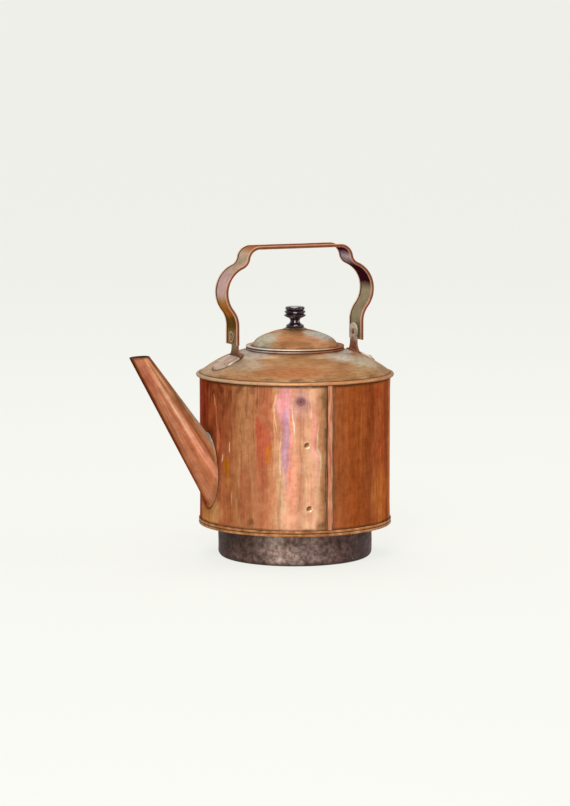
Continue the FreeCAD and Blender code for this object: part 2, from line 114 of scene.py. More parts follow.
def startFinish(name, **sets):
    # an empty material with its shader, and what adds a node to it, feeds the shader and sets its skin
    finish = bpy.data.materials.new(name)
    finish.use_nodes = True
    tree = finish.node_tree
    tree.nodes.clear()
    values = {key.replace("_", " "): value for key, value in sets.items()}
    shader = addNode(tree, "BsdfPrincipled", values)
    addNode(tree, "OutputMaterial", {0: shader})

    def add(*args, **keys):
        # a node in this material's tree
        return addNode(tree, *args, **keys)

    def feed(socket, source):
        # a link into the shader
        tree.links.new(outlet(source), shader.inputs[socket])

    def skin(rough, by, strength, deep, height):
        # roughness between two values by a noise, and a bump of the given strength and depth in mm
        feed("Roughness", add("MapRange", {0: by, 3: rough[0], 4: rough[1]}))
        feed("Normal", add("Bump", {"Height": height, "Strength": strength, "Distance": deep * mm}))

    return finish, add, feed, skin


def grainOf(add, place, sizes, detail=2.0, rough=0.5):
    # noise whose grain measures the given mm along each axis
    spread = add("Mapping", {0: place, "Scale": [1 / (s * mm) for s in sizes]})
    return add("TexNoise", {0: spread, "Scale": 1.0, "Detail": detail, "Roughness": rough})


def ragged(add, measure, noise, amount):
    # a measure frayed by a noise, by up to half the amount each way
    rag = add("Math", {0: noise, 1: amount, 2: -amount / 2}, operation="MULTIPLY_ADD")
    return add("Math", {0: measure, 1: rag}, operation="ADD")


def glazed(add, tone, source, stops, share, how="MULTIPLY"):
    # a colour with the ramp of a noise laid over it
    film = add("ValToRGB", {0: source}, stops=stops)
    return add("Mix", {0: share, 6: tone, 7: film}, blend_type=how)


def covered(add, under, over, measure, start, whole, strength=1.0, **how):
    # one colour covered by another, each a code or a node, from where a measure starts to where it is whole
    share = add("MapRange", {0: measure, 1: start, 2: whole, 3: 0.0, 4: strength}, **how)
    return add("Mix", {0: share, 6: under, 7: over})


def wornChart(add, radius, standing, grain, stray):
    # Place on a round sheet: mm of arc from the front (-Y) towards +X, then mm up, or mm out from the axis
    # on a sheet that lies. A noise of the given grain shifts it by the stray, so that no edge laid on it is
    # straight.
    place = add("TexCoord")
    split = add("SeparateXYZ", {0: place})
    front = add("Math", {0: (split, 1), 1: -1.0}, operation="MULTIPLY")
    angle = add("Math", {0: (split, 0), 1: front}, operation="ARCTAN2")
    level = add("VectorMath", {0: place, 1: (1, 1, 0)}, operation="MULTIPLY")
    reach = add("VectorMath", {0: level}, operation="LENGTH")
    height = (split, 2) if standing else reach
    arc = add("Math", {0: angle, 1: radius, 2: -stray[0] / 2}, operation="MULTIPLY_ADD")
    rise = add("Math", {0: height, 1: 1 / mm, 2: -stray[1] / 2}, operation="MULTIPLY_ADD")
    flat = add("CombineXYZ", {0: arc, 1: rise})
    drift = grainOf(add, place, grain, 3.0, 0.55)
    chart = add("VectorMath", {0: (drift, "Color"), 1: (*stray, 0), 2: flat}, operation="MULTIPLY_ADD")
    return place, split, reach, chart


def bandTone(add, chart, radius, bands):
    # colour by the angle round the sheet, from (degrees from the front, colour)
    arc = add("SeparateXYZ", {0: chart})
    # unclamped: a ramp limits itself, and each clamp takes up some of the shader's memory
    turn = add("MapRange", {0: (arc, 0), 1: -math.pi * radius, 2: math.pi * radius}, clamp=False)
    return add("ValToRGB", {0: turn}, stops=[(0.5 + a / 360, code) for a, code in bands])


softEdge = {"clamp": False, "interpolation_type": "SMOOTHSTEP"}  # a smooth step limits itself


def layWashes(add, tone, chart, washes, fade=0.9):
    # tarnish, painted reflections, highlights and shade laid over a colour in ovals with soft edges: place
    # on the chart, half sizes, colour, strength
    for across, up, halfWide, halfTall, code, strength in washes:
        # place less middle, over half size, in one vector node: mapping nodes would fill the shader's memory
        scaled = {0: chart, 1: (1 / halfWide, 1 / halfTall, 0), 2: (-across / halfWide, -up / halfTall, 0)}
        oval = add("VectorMath", scaled, operation="MULTIPLY_ADD")
        reach = add("VectorMath", {0: oval}, operation="LENGTH")
        tone = covered(add, tone, code, reach, 0.9 + fade / 2, 0.9 - fade / 2, strength, **softEdge)
    return tone


def laySweeps(add, tone, chart, sweeps):
    # Streaks on the chart, some of them painted highlights: a line from foot to head, bowed sideways by
    # 4 t (1 - t), whose width follows the root of that swell, so it narrows to both ends: foot, low, head,
    # high, bow, half width, colour, strength.
    spot = add("SeparateXYZ", {0: chart})
    for footAt, low, headAt, high, bend, half, code, strength in sweeps:
        t = add("MapRange", {0: (spot, 1), 1: low, 2: high}, clamp=False)
        rest = add("Math", {0: 1.0, 1: t}, operation="SUBTRACT")
        swell = add("Math", {0: t, 1: rest}, operation="MULTIPLY")
        line = add("MapRange", {0: t, 3: footAt, 4: headAt}, clamp=False)
        middle = add("Math", {0: swell, 1: 4 * bend, 2: line}, operation="MULTIPLY_ADD")
        off = add("Math", {0: (spot, 0), 1: middle}, operation="SUBTRACT")
        gap = add("Math", {0: off}, operation="ABSOLUTE")
        wide = add("Math", {0: swell}, operation="SQRT")
        reach = add("Math", {0: wide, 1: 2 * half}, operation="MULTIPLY")
        margin = add("Math", {0: reach, 1: gap}, operation="SUBTRACT")
        tone = covered(add, tone, code, margin, 0.0, half * 0.6, strength, **softEdge)
    return tone


def atAngles(radius, washes):
    # washes given by degrees from the front, turned to mm of arc
    return [(math.radians(a) * radius, *rest) for a, *rest in washes]


dullCloud = [(0.36, "#C4AC9C"), (0.6, "#FFFFFF")]  # a thin brown film over copper

drumLook = {
    "radius": 110.0,
    # degrees from the front and the sheet's colour there: rose, salmon and cream bands on the front-left are
    # painted reflections, and the darker sides painted shade
    "bands": [(-180, "#9A5C3D"), (-140, "#945235"), (-112, "#965443"), (-98, "#8E4C3D"), (-86, "#A2604B"),
              (-76, "#B26C49"), (-67, "#AA6641"), (-62, "#B2764D"), (-56, "#C28A5F"), (-51, "#BC8059"),
              (-46, "#B87653"), (-42, "#C67E5B"), (-37, "#D89A6F"), (-33, "#E0AE8F"), (-29, "#F4B695"),
              (-25.5, "#F2B08D"), (-23, "#DA9E7D"), (-20.5, "#DAA483"), (-17, "#EEB893"),
              (-13.5, "#ECB697"), (-10.5, "#CE9871"), (-7, "#A0724F"), (0, "#A05C35"), (8, "#A0562B"),
              (13, "#984E25"), (19, "#9A5229"), (26, "#8E4C2D"), (36, "#A8603D"), (46, "#985C41"),
              (58, "#9C5C3B"), (80, "#965235"), (180, "#9A5C3D")],
    # degrees, height, half width and half height in mm, colour, strength
    "redHeat": [(-97, 184, 12, 34, "#8C4A36", 0.5), (-108, 165, 3.5, 26, "#B4503C", 0.6),
                (-78, 196, 14, 12, "#7E4228", 0.6), (-86, 204, 9, 6, "#6E3822", 0.6),
                (-70, 182, 7, 13, "#8A4A2E", 0.5), (-44.5, 139, 8.5, 28, "#C2543E", 0.6),
                (-47.5, 158, 4, 16, "#BC4A30", 0.6), (-45, 108, 9, 20, "#B86848", 0.5),
                (-40.5, 178, 9, 34, "#BC6A48", 0.5), (-56, 82, 10, 44, "#AC6442", 0.7),
                (-90, 197, 4, 7, "#5A2A1A", 0.6), (-83, 189, 3, 9, "#64301E", 0.55),
                (-75, 203, 7, 4, "#6A3820", 0.6), (-67, 197, 3, 9, "#74402A", 0.5),
                (-60, 205, 6, 4, "#6E4026", 0.55), (-95, 172, 3, 13, "#6A3022", 0.5),
                (-52, 203, 4, 6, "#7A4A2C", 0.5), (-64, 176, 2.5, 10, "#8A5436", 0.45)],
    # the lighter wash at -84 degrees and 160 mm is painted light over the spout's shadow
    "amberDrip": [(-41, 133, 4, 10, "#D07826", 0.65), (-70.5, 113, 4.5, 13, "#B06E12", 0.9),
                  (-70, 96, 5, 12, "#B4763A", 0.6), (-88, 58, 30, 20, "#D09A68", 0.8),
                  (-84, 160, 10, 30, "#B0623E", 0.6), (-34.5, 80, 2, 30, "#B08C60", 0.45),
                  (-91, 158, 5, 11, "#6E6040", 0.65)],
    # rose and mauve upright streaks on the front-left, a painted reflection
    "roseRub": [(-31, 188, 9.0, 25, "#F0AAB0", 0.9), (-30, 146, 6.4, 40, "#CC9AB2", 0.85),
                (-29.3, 112, 3.5, 24, "#D09CA6", 0.6)],
    # small pale spots, painted glints
    "paleRub": [(-73.5, 119, 0.9, 5, "#EBCFAE", 0.8), (-67.5, 134, 0.9, 6, "#E8C8B4", 0.8),
                (-66, 78, 0.8, 8, "#D8A888", 0.6)],
    # streaks, the pale ones painted highlights and the dark ones stains: degrees and height of foot and head,
    # bow and half width in mm, colour, strength
    "sweeps": [(-76.5, 116, -83, 194, 3.4, 1.9, "#E8946C", 0.9),
               (-36, 152, -35, 208, -2.6, 1.6, "#F6BE98", 0.9),
               (-33.2, 104, -34, 160, -0.8, 1.0, "#F0D8C0", 0.65),
               (-38.2, 140, -38, 184, 0.6, 0.8, "#EDB592", 0.7),
               (-26.4, 42, -26, 178, -2.4, 4.4, "#F8AE92", 0.8),
               (-25.4, 150, -26.4, 186, 0.8, 1.1, "#F8EADC", 0.85),
               (-22.5, 60, -22, 170, 1.0, 1.2, "#B8825E", 0.6),
               (-12.2, 96, -15.8, 206, 1.0, 2.4, "#F8B2A8", 0.9),
               (-15.6, 160, -16.4, 204, 0.0, 1.4, "#F4CEAE", 0.8),
               (-11.0, 90, -11.6, 170, 0.6, 1.4, "#EED2B0", 0.6),
               (-43, 60, -41, 118, 1.2, 1.1, "#C88E64", 0.5),
               (-58, 96, -60, 200, 1.5, 1.0, "#8A5030", 0.5),
               (-65.5, 120, -67, 200, 1.2, 0.9, "#7A4028", 0.55),
               (-50, 130, -50.5, 204, -1.0, 0.8, "#94582F", 0.5),
               (-28.5, 40, -33, 96, 1.6, 1.0, "#E8C09A", 0.6),
               (-17.8, 44, -18.6, 116, 0.8, 1.3, "#F0C8A0", 0.6),
               (36.4, 60, 37.2, 190, 0.8, 1.7, "#D0663A", 0.75),
               (17.2, 120, 18.2, 206, 0.5, 1.2, "#B26A30", 0.5),
               (22.6, 70, 22.0, 170, -0.6, 0.9, "#B46C3A", 0.4),
               (-90, 150, -92, 208, 2.0, 2.2, "#7A3C26", 0.6),
               (-86, 176, -84, 209, -0.8, 1.4, "#5E301E", 0.6),
               (-80, 168, -79, 209, 0.8, 1.8, "#7E4630", 0.5),
               (-73, 150, -72, 209, 0.6, 2.2, "#8A4E34", 0.5),
               (-54, 168, -55, 209, 0.8, 2.6, "#8E5638", 0.55),
               (-48, 184, -48.5, 209, 0.4, 1.8, "#7E4A30", 0.55),
               (-62, 60, -60, 140, 1.0, 2.0, "#C89068", 0.5),
               (-44, 186, -43, 209, 0.3, 1.2, "#8E5234", 0.5), (9, 60, 9.6, 200, 0.6, 1.6, "#8A4A24", 0.5),
               (14, 110, 13.4, 206, 0.4, 1.2, "#A86430", 0.5),
               (29, 50, 29.6, 150, 0.6, 1.6, "#A8623A", 0.5)],
    # the two long thin dark lines either side of the seam strip are painted shadow
    "bySeam": [(-21.5, 190, 10, 20, "#CE9894", 0.6), (-7.5, 198, 4, 14, "#6E5836", 0.55),
               (-6.3, 127, 0.9, 100, "#4A3A26", 0.7), (-1.3, 127, 1.4, 100, "#5E4A30", 0.5),
               (-53, 50, 5, 4, "#6A4226", 0.5), (-8, 49, 7, 4, "#5E4A2A", 0.5)],
    "rightPanel": [(27, 168, 9, 44, "#7E3E1C", 0.45), (38, 76, 22, 34, "#BE7844", 0.7),
                   (44, 170, 5, 44, "#8A4628", 0.4), (33, 198, 9, 8, "#A84A2E", 0.5)],
    # pale and salmon upright bands round the back are painted reflections, with darker bands and stains
    # between
    "behind": [(56, 125, 10, 140, "#C88A62", 0.6), (58, 150, 4, 90, "#E4B492", 0.6),
               (86, 125, 26, 140, "#CC946C", 0.75), (78, 125, 7, 140, "#B4744C", 0.6),
               (91, 125, 10, 140, "#E6B694", 0.7), (101, 125, 4, 140, "#E8BE9C", 0.6),
               (114, 125, 12, 140, "#8E4A2C", 0.6), (142, 125, 24, 140, "#C89068", 0.75),
               (147, 125, 9, 140, "#E4B08C", 0.7), (135, 125, 4, 140, "#DCA882", 0.6),
               (164, 125, 9, 140, "#8A4428", 0.5), (-148, 125, 26, 140, "#CC946C", 0.75),
               (-144, 125, 10, 140, "#E6B490", 0.7), (-155, 125, 5, 140, "#B87850", 0.6),
               (-121, 125, 14, 140, "#8A4028", 0.6), (95, 165, 6, 40, "#DDA4A6", 0.75),
               (106, 130, 7, 30, "#B85A44", 0.6), (139, 150, 5, 42, "#C49AA8", 0.7),
               (-150, 150, 6, 44, "#E4A8A0", 0.75), (-139, 128, 5, 34, "#C096A6", 0.6),
               (-131, 100, 7, 26, "#B85040", 0.5), (126, 90, 10, 24, "#B06E24", 0.5)],
    # each list of washes in the order that it lies, and how far its edge fades as a share of its half size
    "washOrder": [("redHeat", 0.5), ("amberDrip", 0.4), ("roseRub", 0.4), ("paleRub", 0.4),
                  ("bySeam", 0.9), ("rightPanel", 0.7), ("behind", 0.6)],
    # tones of the blots, and the heights where the painted shade by each bead starts and is whole
    "blots": [(0.41, "#8C7C70"), (0.44, "#BCB6B0"), (0.57, "#BEBCBA"), (0.6, "#D8D4D2")],
    "beadShadeAt": [(203.5, 208.2), (49.5, 44.5)],
    # rings of colour out from the middle of the bruise, darkest as painted shade in its hollow, and the
    # painted shade and highlight on the shaded and lit sides of a small dent
    "bruise": [(0.0, "#4A262C"), (0.2, "#583238"), (0.34, "#8A5A58"), (0.52, "#724448"), (0.76, "#96686A"),
               (1.0, "#B4847E")],
    "dentShade": [(0.0, "#8E5E3E"), (0.32, "#84502F"), (0.52, "#40241A"), (0.68, "#7A4E36"),
                  (0.9, "#C0926C")],
    "dentLight": [(0.0, "#A06E44"), (0.38, "#B4845A"), (0.58, "#D2A67C"), (0.72, "#F4DEC0"),
                  (0.9, "#DCB088")],
}


def rolledCopper(look):
    # Sheet copper, rolled, bent round and worn: warm brown with faint upright streaks, red and amber heat
    # stains, rose, salmon and cream bands of painted reflection with painted shade towards the sides,
    # painted glints and highlights, painted shade under the beads, in the dents and round the spout, olive
    # dirt and painted shadow along the seam.
    finish, add, feed, skin = startFinish("rolledSheetCopper", Metallic=0.75, Specular_Tint="#C8967A",
                                          Specular_IOR_Level=0.0)
    size = look["radius"]
    place, split, _, chart = wornChart(add, size, True, (15, 15, 40), (15, 26))
    tone = bandTone(add, chart, size, look["bands"])
    for kind, fade in look["washOrder"]:
        tone = layWashes(add, tone, chart, atAngles(size, look[kind]), fade)
    turn = math.radians(size)
    sweeps = [(a * turn, low, b * turn, high, *rest) for a, low, b, high, *rest in look["sweeps"]]
    tone = laySweeps(add, tone, chart, sweeps)
    # rolling and wiping marks, drawn far coarser than real ones so that they show
    streak = grainOf(add, place, (1.8, 1.8, 30), 3.0, 0.6)
    wipe = grainOf(add, place, (11, 11, 2), 3.0, 0.6)
    mottle = grainOf(add, place, [11] * 3, 6.0, 0.7)
    for marks, share in ((streak, 0.18), (wipe, 0.06)):
        tone = glazed(add, tone, marks, [(0.34, "#8E847E"), (0.66, "#E2DEDA")], share, "OVERLAY")
    for wide, tall, share in ((7.0, 60.0, 0.26), (4.0, 16.0, 0.18)):
        blot = grainOf(add, place, (wide, wide, tall), 4.0, 0.6)
        tone = glazed(add, tone, blot, look["blots"], share, "OVERLAY")
    tone = glazed(add, tone, mottle, dullCloud, 0.5)
    # painted shade under the top bead and above the bottom fold, broken by the mottle
    upper, lower = [add("MapRange", {0: (split, 2), 1: unshaded * mm, 2: darkest * mm})
                    for unshaded, darkest in look["beadShadeAt"]]
    ends = add("Math", {0: upper, 1: lower}, operation="MAXIMUM")
    beadShade = add("Math", {0: ends, 1: mottle}, operation="MULTIPLY")
    tone = covered(add, tone, "#4A3018", beadShade, 0.2, 0.5, 0.88)
    # painted shadow on the drum round the spout's root: a soft wide one and a darker line by the flange
    near = ragged(add, add("Attribute", attribute_name="root"), mottle, 5.0)
    for far, close, strong in ((9.0, 2.0, 0.45), (3.0, 2.2, 0.7)):
        tone = covered(add, tone, "#4E3A24", near, far, close, strong)
    # the bruise darkest in its middle, painted shade in its hollow
    out = ragged(add, add("Attribute", attribute_name="bruise"), mottle, 0.8)
    rings = add("ValToRGB", {0: out}, stops=look["bruise"])
    tone = covered(add, tone, rings, out, 1.35, 0.95, 0.85)
    # painted shade on the upper-left and painted highlight on the lower-right of each small dent
    dent = add("Attribute", attribute_name="dent")
    ring = add("MapRange", {0: dent, 1: 0.0, 2: 1.6})
    shade, light = [add("ValToRGB", {0: ring}, stops=look[key]) for key in ("dentShade", "dentLight")]
    dentShadeAndHighlight = covered(add, shade, light, add("Attribute", attribute_name="lit"), -0.4, 0.5)
    feed("Base Color", covered(add, tone, dentShadeAndHighlight, dent, 1.6, 1.15, 0.9))
    skin((0.3, 0.5), mottle, 0.35, 0.2, streak)
    return finish


breastLook = {
    "name": "dulledBreastCopper", "radius": 80.0, "cloud": 24.0,
    "face": [(0.32, "#986A42"), (0.5, "#A87850"), (0.68, "#B08C66")],
    # degrees, distance from the axis, half width and half depth in mm, colour, strength; the grey-green
    # and pale washes are painted reflections
    "washes": [(-28, 96, 36, 10, "#985C36", 0.7), (-22, 76, 30, 8, "#A87C50", 0.6),
               (-52, 66, 18, 6, "#D0B494", 0.8), (-72, 70, 22, 9, "#C2B6A4", 0.85),
               (-64, 86, 24, 11, "#BEA890", 0.8), (-99, 96, 34, 15, "#C2A68C", 0.85),
               (-76, 101, 22, 6, "#BC9670", 0.7), (-76, 63, 9, 4, "#9A9E94", 0.6),
               (-68, 60, 20, 5, "#BAB4AC", 0.8), (16, 60, 16, 5, "#C6B6A2", 0.75),
               (-97, 61, 24, 6, "#BCB4B0", 0.9), (52, 61, 28, 6, "#C4BCB6", 0.9),
               (4, 66, 20, 6, "#CCA880", 0.8), (26, 72, 24, 10, "#D2C8B6", 0.9),
               (44, 87, 28, 13, "#C0B29A", 0.85), (30, 97, 16, 6, "#B09064", 0.6),
               (54, 103, 18, 6, "#948260", 0.6), (120, 85, 40, 20, "#A39A78", 0.5),
               (165, 74, 26, 10, "#B6AA98", 0.6), (-150, 90, 30, 14, "#A4663A", 0.5),
               (-42, 107.5, 9, 1.6, "#6A5A38", 0.7), (-24, 108, 5, 1.8, "#5A4A30", 0.7),
               (-8, 107.5, 9, 1.5, "#6A5A38", 0.65), (12, 108, 8, 1.4, "#7A6A44", 0.6),
               (30, 107.5, 8, 1.6, "#6A5A38", 0.6)],
    # where the rolled bead starts and is whole, and its colour by degrees, paler on the front-left as a
    # painted highlight
    "rim": (110.2, 110.8),
    "rimBands": [(-180, "#B08058"), (-115, "#B69C82"), (-75, "#C09E7E"), (-25, "#C89468"), (0, "#C08258"),
                 (30, "#B67E56"), (60, "#AA8264"), (180, "#B08058")],
    # painted shade in rings round the axis and in lines by height, where parts meet: place, half width,
    # strength
    "rings": [(56.3, 0.8, 0.6), (109.9, 0.8, 0.75)], "seams": [(208.8, 1.3, 0.85)],
    # distance, half width and half length of the ears' feet, with painted shade round them
    "feet": (84.3, 16.5, 17.5),
}
neckLook = {
    "name": "dulledNeckCopper", "radius": 55.0, "cloud": 12.0, "face": breastLook["face"], "washes": [],
    "rim": (52.4, 53.4),
    "rimBands": [(-180, "#9A5E40"), (-112, "#B8A090"), (-70, "#D0C0B8"), (-30, "#C8B0A4"), (2, "#B0775A"),
                 (30, "#9A5438"), (180, "#9A5E40")],
    "rings": [], "seams": [(241.8, 0.9, 0.85)], "feet": None,
}
lidLook = {
    "name": "dulledLidCopper", "radius": 40.0, "cloud": 18.0,
    "face": [(0.32, "#A07048"), (0.5, "#AE7E56"), (0.68, "#B68C64")],
    # the grey-green and pale washes are painted reflections, the dark one at -26 degrees and 47 mm painted
    # shade
    "washes": [(-30, 40, 22, 8, "#B4744A", 0.6), (-12, 30, 14, 8, "#B87A50", 0.55),
               (4, 40, 12, 9, "#C89068", 0.6), (-84, 40, 20, 12, "#BEBCA8", 0.85),
               (-72, 28, 10, 7, "#BCA888", 0.6), (24, 28, 18, 11, "#C2C0B2", 0.9),
               (2, 24, 5, 4, "#CDBFA2", 0.7), (31, 38, 15, 8, "#D4AC90", 0.85),
               (38, 46, 9, 4, "#B8805E", 0.6), (-26, 47, 16, 4.5, "#8E6240", 0.75),
               (48, 34, 18, 10, "#B4BAB2", 0.85), (14, 20, 9, 5, "#C0B8A4", 0.6),
               (150, 34, 24, 12, "#B4A890", 0.7)],
    "rim": (51.6, 52.8),
    "rimBands": [(-180, "#A86A48"), (-112, "#D2C8BC"), (-60, "#E4DCD2"), (-20, "#DCC8B4"), (8, "#C89A7C"),
                 (32, "#A05A3C"), (180, "#A86A48")],
    "rings": [(50.4, 1.5, 0.75), (14.6, 1.6, 0.75)], "seams": [(242.2, 0.8, 0.85)], "feet": None,
}


def dulledCopper(look):
    # Sheet copper dulled by steam: tan and orange brown in soft clouds, grey-green and pale painted
    # reflections towards the sides, rims rubbed paler with a painted highlight on the front-left, painted
    # shade in the rings where two sheets meet.
    finish, add, feed, skin = startFinish(look["name"], Metallic=0.5, Specular_Tint="#A08468",
                                          Specular_IOR_Level=0.3)
    size = look["radius"]
    place, split, reach, chart = wornChart(add, size, False, (16, 16, 16), (14, 7))
    cloud = grainOf(add, place, [look["cloud"]] * 3, 5.0, 0.6)
    # polish marks round the axis, drawn coarser than real ones so that they show
    circling = add("CombineXYZ", {0: (split, 0), 1: (split, 1), 2: reach})
    grain = grainOf(add, circling, (9, 9, 2.2), 4.0, 0.62)
    tone = add("ValToRGB", {0: cloud}, stops=look["face"])
    tone = layWashes(add, tone, chart, atAngles(size, look["washes"]))
    rimWearAndHighlight = bandTone(add, chart, size, look["rimBands"])
    onRim = add("MapRange", {0: reach, 1: look["rim"][0] * mm, 2: look["rim"][1] * mm})
    tone = add("Mix", {0: onRim, 6: tone, 7: rimWearAndHighlight})
    speck = add("ValToRGB", {0: grain}, stops=[(0.36, "#A89480"), (0.56, "#FFFFFF")])
    wear = add("MapRange", {0: onRim, 3: 0.42, 4: 0.3})
    tone = add("Mix", {0: wear, 6: tone, 7: speck}, blend_type="MULTIPLY")
    lines = [(reach, at * mm, half * mm, strong) for at, half, strong in look["rings"]]
    lines += [((split, 2), at * mm, half * mm, strong) for at, half, strong in look["seams"]]
    if look["feet"]:
        out, wide, long = [v * mm for v in look["feet"]]
        side = add("Math", {0: (split, 0)}, operation="ABSOLUTE")
        spot = add("CombineXYZ", {0: side, 1: (split, 1)})
        laid = {0: spot, "Location": (out, 0, 0), "Scale": (wide, long, 1)}
        oval = add("Mapping", laid, vector_type="TEXTURE")
        around = add("VectorMath", {0: oval}, operation="LENGTH")
        lines.append((around, 1.0, 0.15, 0.75))
    # painted shade laid in the rings, in the lines and round the ears' feet
    for measure, middle, half, strong in lines:
        off = add("Math", {0: measure, 1: middle}, operation="SUBTRACT")
        gap = add("Math", {0: off}, operation="ABSOLUTE")
        edge = ragged(add, gap, cloud, half)
        tone = covered(add, tone, "#4E3C26", edge, half * 1.2, half * 0.5, strong)
    feed("Base Color", tone)
    skin((0.38, 0.58), cloud, 0.3, 0.3, grain)
    return finish


spoutLook = {
    "tilt": 33.2,  # degrees from upright
    # colour across the visible side, from the under edge (-1.3) past the ridge (0) to the top (1.1): painted
    # shade on the under edge, a painted highlight on the ridge and a painted reflection along the top
    "across": [(-1.3, "#5A2E1E"), (-1.1, "#86482E"), (-0.95, "#BC7A54"), (-0.75, "#CC8A68"),
               (-0.45, "#D0886A"), (-0.31, "#C0764E"), (-0.2, "#D89068"), (-0.06, "#D08A62"),
               (0.0, "#DC9872"), (0.06, "#DC9874"), (0.2, "#C88660"), (0.45, "#C0865A"), (0.62, "#C89066"),
               (0.78, "#C8A686"), (0.9, "#CCBCA6"), (1.1, "#D2CABC")],
    # place across and along (0 at the root, 1 at the lip), half sizes, colour, strength; the two palest are
    # painted highlights, the dark one high on the top side painted shade
    "washes": [(0.1, 0.16, 0.28, 0.36, "#F6A482", 0.9), (-0.3, 0.05, 0.35, 0.16, "#C47C50", 0.6),
               (-0.6, 0.6, 0.12, 0.3, "#C48262", 0.6), (0.5, 0.8, 0.4, 0.36, "#8E644A", 0.75),
               (-0.5, 0.3, 0.2, 0.2, "#BC6E48", 0.5), (-0.6, 0.86, 0.3, 0.12, "#B85C4C", 0.6),
               (-0.4, 0.93, 0.3, 0.07, "#CC8268", 0.6), (0.3, 0.45, 0.1, 0.3, "#BC7448", 0.5),
               (0.48, 0.2, 0.08, 0.2, "#A86C44", 0.6), (0.02, 0.6, 0.05, 0.34, "#F0BE9C", 0.8)],
    # streaks along it, the pale ones painted highlights: across and along at foot and head, bow, half width,
    # colour, strength
    "sweeps": [(-0.06, 0.28, -0.12, 0.96, 0.02, 0.07, "#F4C8A8", 0.75),
               (-0.05, 0.3, -0.1, 0.8, 0.02, 0.025, "#FBE0C8", 0.7),
               (-0.3, 0.1, -0.22, 0.8, 0.03, 0.04, "#BC5844", 0.75),
               (-0.12, 0.2, -0.16, 0.75, 0.0, 0.03, "#E09C78", 0.7),
               (0.12, 0.0, 0.1, 0.5, 0.03, 0.05, "#FAB492", 0.8),
               (-0.85, 0.15, -0.8, 0.9, 0.02, 0.05, "#9A5A40", 0.6),
               (-0.5, 0.35, -0.55, 0.95, 0.03, 0.04, "#D08C68", 0.6),
               (0.34, 0.3, 0.3, 0.95, 0.02, 0.03, "#A0643E", 0.6),
               (0.6, 0.1, 0.58, 0.7, 0.03, 0.04, "#9C6A44", 0.5),
               (0.24, 0.05, 0.24, 0.4, 0.02, 0.03, "#C87A58", 0.7),
               (-0.62, 0.02, -0.66, 0.4, 0.02, 0.04, "#CC8460", 0.5)],
}


def burnishedCopper(look):
    # A cone of sheet copper: salmon with a pale painted highlight on the ridge that runs from root to lip,
    # browner with painted shade on its under side and a grey-olive painted reflection along the top.
    finish, add, feed, skin = startFinish("burnishedSpoutCopper", Specular_Tint="#A06A4E",
                                          Specular_IOR_Level=0.0)
    place = add("TexCoord")
    upright = add("Mapping", {0: place, "Rotation": (0, math.radians(look["tilt"]), 0)})
    streak = grainOf(add, upright, (2.2, 2.2, 80), 3.0, 0.6)  # drawn coarser than real, so that it shows
    mottle = grainOf(add, place, [16] * 3, 4.0, 0.6)
    across = add("Attribute", attribute_name="across")
    along = add("Attribute", attribute_name="along")
    flat = add("CombineXYZ", {0: across, 1: along})
    stray = add("VectorMath", {0: (mottle, "Color"), 1: (0.04, 0.1, 0), 2: (-0.02, -0.05, 0)},
                operation="MULTIPLY_ADD")
    chart = add("VectorMath", {0: flat, 1: stray}, operation="ADD")
    side = add("SeparateXYZ", {0: chart})
    low, high = look["across"][0][0], look["across"][-1][0]
    ramp = add("MapRange", {0: (side, 0), 1: low, 2: high})
    stops = [((a - low) / (high - low), code) for a, code in look["across"]]
    tone = add("ValToRGB", {0: ramp}, stops=stops)
    tone = layWashes(add, tone, chart, look["washes"], 0.6)
    tone = laySweeps(add, tone, chart, look["sweeps"])
    tone = glazed(add, tone, streak, [(0.34, "#C4AC9C"), (0.6, "#FFFFFF")], 0.5)
    tone = glazed(add, tone, mottle, dullCloud, 0.5)
    feed("Metallic", add("MapRange", {0: (side, 0), 1: 0.4, 2: 0.8, 3: 0.75, 4: 0.15}))
    # dark at the lip as painted shade in the mouth, and a little darker at the root
    foot = add("MapRange", {0: along, 1: 0.012, 2: 0.0, 3: 0.0, 4: 0.25})
    lip = add("MapRange", {0: along, 1: 0.985, 2: 1.0, 3: 0.0, 4: 0.75})
    ends = add("Math", {0: foot, 1: lip}, operation="MAXIMUM")
    feed("Base Color", add("Mix", {0: ends, 6: tone, 7: "#5E3A2A"}))
    skin((0.28, 0.48), mottle, 0.3, 0.2, streak)
    return finish


bailLook = {
    # height in mm and the web's colour there, on its outer and inner faces: outside, the pale upper corner is
    # a painted highlight; inside, the dark purple is painted shade and the pale lilac a painted highlight
    "outside": [(248, "#8C7052"), (262, "#8A6E48"), (268, "#604A24"), (277, "#6E5024"), (283, "#A8682E"),
                (295, "#B27A40"), (302, "#BE9A86"), (308, "#C9A8A4"), (326, "#C6A4A2"), (336, "#B09A84"),
                (346, "#B8A48C"), (352, "#C0A690"), (356, "#AE8060"), (358.5, "#A0603E")],
    "inside": [(248, "#A89A7E"), (262, "#9C9074"), (305, "#A89A7E"), (311, "#7A6A5A"), (315, "#3E1824"),
               (333, "#461C2A"), (338, "#96808A"), (345, "#C0B0B8"), (349, "#8A6C7A"), (352, "#46182A"),
               (356, "#52241E"), (358.5, "#8A4226")],
    # from the crease beside the web over the hem's crest to its outermost line: painted shade in the crease
    # and on the outermost line, a painted highlight on the crest
    "hem": [(0.0, "#2E1410"), (0.13, "#3E1E16"), (0.27, "#EACAB0"), (0.52, "#E0B496"), (0.68, "#A87258"),
            (1.0, "#5E3226")],
}


